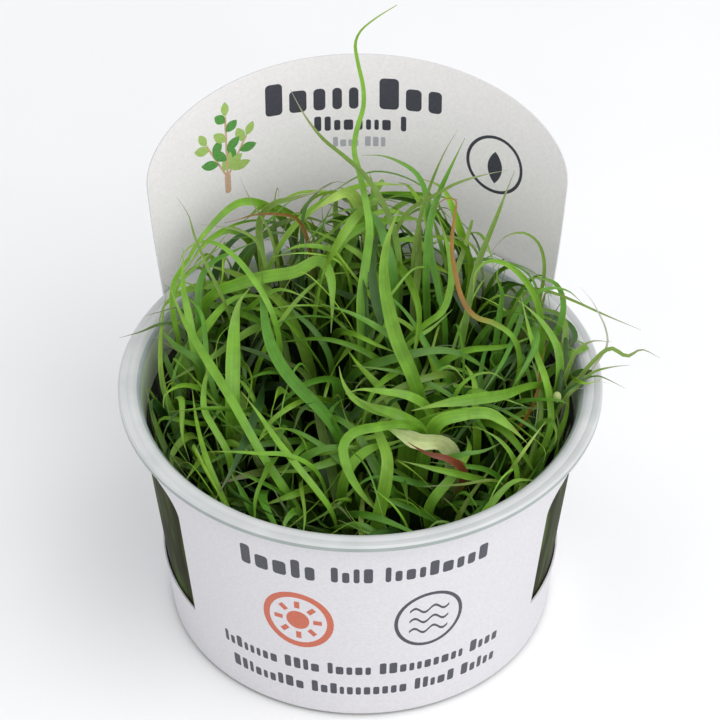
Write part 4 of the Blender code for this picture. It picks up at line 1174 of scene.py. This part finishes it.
def make_sleeve():
    """The card as one closed sheet: printed inner and outer faces, and its cut edges."""
    outlines = [blank_outline(), right_window_outline()]
    prints = [(ink, [(x * MM, z * MM) for x, z in shape], "outer") for ink, shape in front_print()]
    prints += [(ink, [(REAR_MIDDLE - x * MM, z * MM) for x, z in shape], "inner")
               for ink, shape in header_print()]
    outlines += [anticlockwise(outline) for _, outline, _ in prints]
    flat = []
    loops = []
    for outline in outlines:
        loops.append(list(range(len(flat), len(flat) + len(outline))))
        flat += outline
    columns = round((RIGHT_END - LEFT_END) / CARD_CELL)
    rows = int((HEADER_TOP - SLEEVE_BOTTOM) / CARD_CELL)
    for i in range(1, columns):
        for j in range(1, rows):
            spread = LEFT_END + (RIGHT_END - LEFT_END) * i / columns
            flat.append((spread, SLEEVE_BOTTOM + CARD_CELL * (j + CELL_SHIFT)))
    # The triangulation works in mm, where its tolerance suits the shapes
    made = delaunay_2d_cdt([Vector((x / MM, z / MM)) for x, z in flat], [], loops, 1, 1e-5)
    places, made_faces, made_sources = made[0], made[2], made[5]
    places = [(x * MM, z * MM) for x, z in places]
    # The blank's two ends meet, so points of the right end become those of the left one
    left = {round(z / MM, 4): i for i, (x, z) in enumerate(places) if abs(x - LEFT_END) < 1e-7}
    partner = [left[round(z / MM, 4)] if abs(x - RIGHT_END) < 1e-7 else i for i, (x, z) in enumerate(places)]
    inks = list(INKS)
    faces = []
    outer_inks = []
    inner_inks = []
    for face, sources in zip(made_faces, made_sources):
        if 0 not in sources or 1 in sources:
            continue
        face = [partner[i] for i in face]
        top = {"outer": "card", "inner": "card"}
        for source in sorted(sources):
            if source > 1:
                ink, _, side = prints[source - 2]
                top[side] = ink
        faces.append(face)
        outer_inks.append(inks.index(top["outer"]))
        inner_inks.append(inks.index(top["inner"]) or len(inks))
    used = sorted({i for face in faces for i in face})
    number = {old: new for new, old in enumerate(used)}
    faces = [[number[i] for i in face] for face in faces]
    flat = [places[i] for i in used]
    normals = [card_normal(x, z) for x, z in flat]
    inner = [card_point(x, z) for x, z in flat]
    outer = [point + normal * CARD for point, normal in zip(inner, normals)]
    count = len(flat)
    # Flat faces run anticlockwise seen from outside, so the inner face is turned round
    all_faces = [[i + count for i in face] for face in faces]
    all_faces += [face[::-1] for face in faces]
    slots = outer_inks + inner_inks
    # A border edge is walked one way only
    edges = dict.fromkeys((a, b) for face in faces for a, b in zip(face, face[1:] + face[:1]))
    edge_faces = [(b, a, a + count, b + count) for a, b in edges if (b, a) not in edges]
    # One white card in two copies: the outer face is painted darker, as painted shade against the strong lamp
    # on the front
    looks = [card_look("outer_card_painted_darker", (212, 210, 214), (221, 219, 223))]
    looks += [ink_look(name.replace(" ", "_") + "_ink", *tones) for name, tones in INKS.items() if tones]
    # The inner face, which the header shows, is the same card painted lighter and a little warmer, as painted
    # light against the header's shade
    looks.append(card_look("inner_card_painted_lighter", (234, 231, 230), (242, 239, 238)))
    yaw = Matrix.Rotation(SLEEVE_YAW, 3, "Z")
    sleeve = add_piece("card_sleeve", [yaw @ point for point in inner + outer], all_faces + edge_faces,
                       looks, slots + [0] * len(edge_faces), False)
    corners = []
    for index, polygon in enumerate(sleeve.data.polygons):
        for vertex in polygon.vertices:
            if index < len(faces):
                corners.append(yaw @ normals[vertex - count])
            elif index < 2 * len(faces):
                corners.append(yaw @ -normals[vertex])
            else:
                corners.append(polygon.normal)
    sleeve.data.shade_smooth()
    sleeve.data.set_sharp_from_angle(angle=CREASE)
    sleeve.data.normals_split_custom_set(corners)
    dress(sleeve, "sleeve")


# Plantlets

def tangle_top(x, y):
    """Height of the tangle's top, with the mound of leaves in front of the header."""
    away = np.hypot(x - MOUND_MIDDLE[0], y - MOUND_MIDDLE[1]) / MOUND_SPREAD
    return heap_height(x, y) + MOUND_HEIGHT * np.exp(-0.5 * away ** 2)


def laid_blade(shoot, start, turn, bow, reach, depth, width, draw):
    """A blade that rises to a starting place and then lies over the top of the tangle."""
    foot = crown_place(shoot)
    inside, above = crown_roots(shoot, np.array([*start, 0.0]) + (1.0e-4, 0.0, 0.0))
    points = [inside, above, np.array([*((foot[:2] + start) / 2.0), 0.6 * tangle_top(*start)])]
    for share, dip in (*LAID_STEPS, (1.0, draw.uniform(*LAID_TIP_DIP))):
        spot = start + heading(turn + bow * share) * reach * share
        spot *= min(1.0, EXTRA_SPREAD / np.linalg.norm(spot))
        points.append(np.array([*spot, tangle_top(*spot) - depth - dip * MM]))
    return free_blade(shoot, width, points)


def crosses_opening(blade):
    """Whether the blade's upper part lies over a place that stays open."""
    spots = blade.points[3:, :2] / MM
    spots = np.concatenate([spots, (spots[1:] + spots[:-1]) / 2.0])
    return any((np.hypot(spots[:, 0] - x, spots[:, 1] - y) < radius).any() for x, y, radius in OPEN_PLACES)


def in_mound(spot):
    return np.linalg.norm(spot[:2] - MOUND_MIDDLE) < MOUND_SPREAD


def top_blade(shoot, draw):
    """A blade over the tangle, in a direction that leaves the open places open if one is found."""
    for _ in range(TOP_TRIES):
        start = pull_in(crown_place(shoot)[:2] * 1.1 + draw.normal(0.0, 5.0, 2) * MM)
        widths = TOP["mound_width" if in_mound(start) else "width"]
        blade = laid_blade(shoot, start, draw.uniform(0.0, 2.0 * math.pi), draw.uniform(*TOP["bow"]),
                           draw.uniform(*TOP["reach"]) * MM, draw.uniform(*TOP["depth"]) * MM,
                           draw.uniform(*widths) * MM, draw)
        if not crosses_opening(blade):
            break
    return blade


def wall_blade(shoot, draw):
    """A blade that leans along the inside of the cup's wall."""
    foot = crown_place(shoot)[:2]
    outward = math.atan2(foot[1], foot[0])
    start = heading(outward) * draw.uniform(*BY_WALL["start"]) * MM
    side = draw.choice((-1.0, 1.0))
    turn = outward + side * draw.uniform(*BY_WALL["turn"])
    return laid_blade(shoot, start, turn, side * BY_WALL["bow"], draw.uniform(*BY_WALL["reach"]) * MM,
                      draw.uniform(*BY_WALL["depth"]) * MM, draw.uniform(*BY_WALL["width"]) * MM, draw)


def pressed_blade(shoot, turn, draw):
    """A blade pressed against the inside of the cup's wall."""
    inside, above = crown_roots(shoot, np.array([*heading(turn), 0.0]))
    slant = draw.uniform(*PRESSED["slant"])
    width = draw.uniform(*PRESSED["width"]) * MM
    top = draw.uniform(*PRESSED["top"]) * MM
    points = [inside, above]
    for share in (0.0, 0.35, 0.7, 1.0):
        z = PRESSED_FROM + (top - PRESSED_FROM) * share
        way = turn + slant * share
        reach = inner_wall_radius(z) - 0.3 * width - (0.3 + draw.uniform(*PRESSED["from_wall"])) * MM
        points.append(np.array([reach * math.cos(way), reach * math.sin(way), z]))
    return free_blade(shoot, width, points)


def nearest_crown(spot):
    """The crown nearest to a place."""
    return min(range(SHOOT_COUNT), key=lambda i: np.linalg.norm(crown_place(i)[:2] - spot))


def smooth_route(points):
    """A smooth curve along the route, in even short steps."""
    eased = points.copy()
    eased[1:-1] = (points[:-2] + 4.0 * points[1:-1] + points[2:]) / 6.0
    points = eased
    padded = np.concatenate([[2.0 * points[0] - points[1]], points, [2.0 * points[-1] - points[-2]]])
    curve = []
    for i in range(1, len(padded) - 2):
        p0, p1, p2, p3 = padded[i - 1:i + 3]
        t1 = np.linalg.norm(p1 - p0) ** 0.5
        t2 = t1 + np.linalg.norm(p2 - p1) ** 0.5
        t3 = t2 + np.linalg.norm(p3 - p2) ** 0.5
        t = np.linspace(t1, t2, 9)[:-1, None]
        a1 = (t1 - t) / t1 * p0 + t / t1 * p1
        a2 = (t2 - t) / (t2 - t1) * p1 + (t - t1) / (t2 - t1) * p2
        a3 = (t3 - t) / (t3 - t2) * p2 + (t - t2) / (t3 - t2) * p3
        b1 = (t2 - t) / t2 * a1 + t / t2 * a2
        b2 = (t3 - t) / (t3 - t1) * a2 + (t - t1) / (t3 - t1) * a3
        curve.append((t2 - t) / (t2 - t1) * b1 + (t - t1) / (t2 - t1) * b2)
    curve = np.concatenate([*curve, points[-1:]])
    lengths = np.concatenate([[0.0], np.cumsum(np.linalg.norm(np.diff(curve, axis=0), axis=1))])
    rings = max(8, round(lengths[-1] / RING_STEP))
    spots = np.linspace(0.0, lengths[-1], rings + 1)
    return np.stack([np.interp(spots, lengths, curve[:, axis]) for axis in range(3)], axis=1)


def unit(vector):
    return vector / max(np.linalg.norm(vector), 1e-12)


def leaf_colours(tint, shares, steady, draw):
    """Linear colour along a leaf: its base, blade and tip, a little different on each leaf."""
    base, blade, upper, tip = [np.array(linear(colour)) for colour in LEAF_COLOURS[tint]]
    tone = draw.uniform(0.82, 1.16) * np.array([draw.uniform(0.94, 1.2), 1.0, draw.uniform(0.75, 1.05)])
    if steady:
        tone = 1.0 + 0.25 * (tone - 1.0)
    stops = (0.0, draw.uniform(0.25, 0.4), draw.uniform(0.58, 0.66), 0.7, draw.uniform(0.86, 0.93), 1.0)
    colours = (base, blade * tone, blade * tone, upper * tone, upper * tone, tip)
    return np.stack([np.interp(shares, stops, [colour[part] for colour in colours])
                     for part in range(3)], axis=1)


def sweep_blade(blade, tint, draw):
    """Points, faces, colours and vein positions of one closed, channelled blade."""
    route = over_rim(smooth_route(blade.points), blade.width / 2.0)
    count = len(route)
    shares = np.linspace(0.0, 1.0, count)
    tangents = np.gradient(route, axis=0)
    tangents /= np.linalg.norm(tangents, axis=1)[:, None]
    hand_read = blade.slack[-1] < 1.0
    to_viewer = unit(VIEW_POINT - route[count // 2])
    habit = STEADY if hand_read else LOOSE
    facing = unit(0.5 * to_viewer + np.array([0.0, 0.0, 0.35]) + draw.normal(0.0, habit["spread"], 3))
    swing = draw.uniform(*habit["swing"])
    turns = draw.uniform(*TWISTS)
    phase = draw.uniform(0.0, 2.0 * math.pi)
    points = []
    face_way = unit(facing - tangents[0] * facing.dot(tangents[0]))
    for place, along, share in zip(route, tangents, shares):
        aim = facing - along * facing.dot(along)
        face_way = unit(face_way - along * face_way.dot(along))
        face_way = unit(face_way + 0.15 * aim)
        twist = swing * math.sin(phase + 2.0 * math.pi * turns * share)
        side = np.cross(face_way, along)
        n = face_way * math.cos(twist) + side * math.sin(twist)
        s = np.cross(n, along)
        closing = 1.0 if share < POINT_FROM else 1.0 - POINT_FALL * (share - POINT_FROM)
        width = blade.width * taper(share, blade.taper_start, blade.taper_power) * closing
        for x, y in BLADE_SECTION:
            points.append(place + width * (x * s + y * n))
    sides = len(BLADE_SECTION)
    faces = [tuple(range(sides)), *((a, d, c, b) for a, b, c, d in ring_faces(count, sides)),
             tuple(range(count * sides - 1, (count - 1) * sides - 1, -1))]
    # Painted shade: each ring of the blade is darkened by how deep it lies under the tangle's top
    to_the_right = np.maximum(route[:, 0] - RIGHT_FROM, 0.0)
    depth = tangle_top(route[:, 0], route[:, 1]) - route[:, 2] - RIGHT_FALL * to_the_right
    shade = 1.0 - (1.0 - DARKEST) * np.clip((depth - DARK_FROM) / DARK_OVER, 0.0, 1.0)
    colours = np.repeat(leaf_colours(tint, shares, hand_read, draw) * shade[:, None], sides, axis=0)
    veins = np.tile([6.0 * math.pi * x for x, _ in BLADE_SECTION], count)
    return clear_of_wall(np.array(points)), faces, colours, veins


def ring_faces(rings, sides, first=0):
    """Faces between successive rings of points, from the first point's number on."""
    faces = []
    for ring in range(rings - 1):
        for j in range(sides):
            a = first + ring * sides + j
            b = first + ring * sides + (j + 1) % sides
            faces.append((a, b, b + sides, a + sides))
    return faces


def crown_mesh(shoot, draw):
    """The pale sheath at the foot of a shoot."""
    foot = crown_place(shoot)
    points = []
    for radius, share in CROWN_RINGS:
        for turn in angles_round(CROWN_SIDES):
            reach = radius * MM * (1.0 + 0.08 * math.sin(3.0 * turn + shoot))
            points.append(foot + (reach * math.cos(turn), reach * math.sin(turn), CROWN_HEIGHT * share))
    top = (len(CROWN_RINGS) - 1) * CROWN_SIDES
    faces = [tuple(range(CROWN_SIDES - 1, -1, -1)), *ring_faces(len(CROWN_RINGS), CROWN_SIDES),
             tuple(range(top, top + CROWN_SIDES))]
    colours = np.tile(np.array(linear(CROWN_COLOUR)) * draw.uniform(0.8, 1.1), (len(points), 1))
    return np.array(points), faces, colours, np.zeros(len(points))


def bud_mesh(pixel, radius, colour):
    """A small seed capsule, pointed above and below."""
    centre = seen_point(*pixel)
    rings = [(math.sin(math.pi * i / 8) ** 0.8, -math.cos(math.pi * i / 8)) for i in range(1, 8)]
    tip = (0.0, 0.0, 1.45 * radius * MM)
    points = [centre - tip]
    for reach, rise in rings:
        for turn in angles_round(BUD_SIDES):
            points.append(centre + radius * MM * np.array([reach * math.cos(turn), reach * math.sin(turn),
                                                           1.35 * rise]))
    points.append(centre + tip)
    last = len(points) - 1
    start = last - BUD_SIDES
    following = [(j + 1) % BUD_SIDES for j in range(BUD_SIDES)]
    faces = [(0, 1 + after, 1 + j) for j, after in enumerate(following)]
    faces += ring_faces(len(rings), BUD_SIDES, 1)
    faces += [(start + j, start + after, last) for j, after in enumerate(following)]
    return np.array(points), faces, np.tile(np.array(linear(colour)), (len(points), 1)), np.zeros(len(points))


def shape_tip(blade, name):
    blade.taper_start = TAPER_STARTS.get(name, HAND_READ_TAPER)
    blade.taper_power = TAPER_POWERS.get(name, TAPER_POWER)


def plan_extra(blades, tints, draw):
    """Add the leaves that only the visual model has, around the solids' blades, which stay in place."""
    solid = len(blades)
    used = [0] * SHOOT_COUNT
    for name, (tint, width, pixels) in FINE_LEAVES.items():
        blades.append(read_blade(width, pixels, used))
        shape_tip(blades[-1], name)
        tints.append(tint)
    for index in range(TOP_BLADES):
        blades.append(top_blade(index % SHOOT_COUNT, draw))
    for index in range(WALL_BLADES):
        blades.append(wall_blade(SHOOT_COUNT - 1 - index % OUTER_SHOOTS, draw))
    for index in range(THIN_BLADES):
        blades.append(bent_blade(index % SHOOT_COUNT, draw, THIN, THIN_STEPS, tangle_top))
    for blade in blades[len(tints):]:
        blade.taper_start = EXTRA_TAPER
        tint = draw.choice(("bright", "bright", "bright", "mid", "mid", "dark", "olive"))
        tints.append("bright" if in_mound(blade.points[3]) else tint)
    settle(blades, EXTRA_ROUNDS, solid)
    for index in range(PRESSED_BLADES):
        turn = 2.0 * math.pi * (index + draw.uniform(-0.4, 0.4)) / PRESSED_BLADES
        blades.append(pressed_blade(nearest_crown(heading(turn) * SHOOT_SPREAD), turn, draw))
    tints += list(draw.choice(("mid", "dark", "dark", "olive"), PRESSED_BLADES))


def make_plantlet(shoot, parts, look):
    """One piece of a crown, its leaves and its buds, with the leaves' colours on its points."""
    points, part_faces, colours, veins = zip(*parts)
    starts = np.cumsum([0] + [len(spots) for spots in points]).tolist()
    faces = [tuple(i + start for i in face) for part, start in zip(part_faces, starts) for face in part]
    piece = add_piece(f"plantlet_{shoot + 1:02d}", np.concatenate(points), faces, (look,))
    piece.data.set_sharp_from_angle(angle=CREASE)
    rgba = np.ones((starts[-1], 4))
    rgba[:, :3] = np.concatenate(colours)
    tints = piece.data.attributes.new("leaf_tint", "FLOAT_COLOR", "POINT")
    tints.data.foreach_set("color", rgba.ravel())
    across = piece.data.attributes.new("leaf_across", "FLOAT", "POINT")
    across.data.foreach_set("value", np.concatenate(veins))
    dress(piece, f"shoot_{shoot + 1:02d}")


def make_shoots():
    blades = plan_blades()
    for name, blade in zip(LEAVES, blades):
        shape_tip(blade, name)
    draw = np.random.default_rng(11)
    tints = [tint for tint, _, _ in LEAVES.values()]
    tints += list(draw.choice(("bright", "mid", "mid", "dark"), len(blades) - len(LEAVES)))
    settle(blades)
    plan_extra(blades, tints, draw)
    look = leaf_look()
    for shoot in range(SHOOT_COUNT):
        parts = [crown_mesh(shoot, draw)]
        parts += [sweep_blade(blade, tint, draw) for blade, tint in zip(blades, tints)
                  if blade.shoot == shoot]
        parts += [bud_mesh(*bud) for bud in BUDS if nearest_crown(seen_point(*bud[0])[:2]) == shoot]
        make_plantlet(shoot, parts, look)


# Surroundings, in metres, and the lamp's power in watts

FLOOR_HALF = 3.0
WORLD_COLOUR = (0.97, 0.98, 1.0, 1.0)
WORLD_STRENGTH = 0.76
LAMP_SIZE = 1.0
LAMP_POWER = 4.6
LAMP_PLACE = (0.38, -0.42, 0.7)
LAMP_AIM = (0.0, 0.0, 0.04)


def make_floor():
    corners = [(x * FLOOR_HALF, y * FLOOR_HALF, 0.0) for x, y in ((-1, -1), (1, -1), (1, 1), (-1, 1))]
    floor = add_piece("floor", corners, [(0, 1, 2, 3)], [floor_look()], None, False)


def make_light():
    world = bpy.data.worlds.new("studio")
    world.use_nodes = True
    background = world.node_tree.nodes["Background"]
    background.inputs["Color"].default_value = WORLD_COLOUR
    background.inputs["Strength"].default_value = WORLD_STRENGTH
    bpy.context.scene.world = world
    light = bpy.data.lights.new("softbox", "AREA")
    light.shape = "DISK"
    light.size = LAMP_SIZE
    light.energy = LAMP_POWER
    lamp = bpy.data.objects.new("softbox", light)
    lamp.location = LAMP_PLACE
    lamp.rotation_euler = (Vector(LAMP_AIM) - lamp.location).to_track_quat("-Z", "Y").to_euler()
    bpy.context.scene.collection.objects.link(lamp)


def make_camera():
    forward, right, up = [Vector(axis) for axis in view_axes()]
    camera = bpy.data.cameras.new("camera")
    camera.sensor_width = SENSOR_MM
    camera.lens = FOCAL_PIXELS * SENSOR_MM / (2.0 * IMAGE_CENTRE)
    camera.clip_start = 0.05
    holder = bpy.data.objects.new("camera", camera)
    turn = Matrix((right, up, -forward)).transposed().to_4x4()
    holder.matrix_world = Matrix.Translation(Vector(VIEW_POINT)) @ turn
    bpy.context.scene.collection.objects.link(holder)
    bpy.context.scene.camera = holder
    bpy.context.scene.view_settings.view_transform = "Standard"


for make in (make_floor, make_light, make_camera, make_cup, make_gel, make_sleeve, make_shoots):
    make()
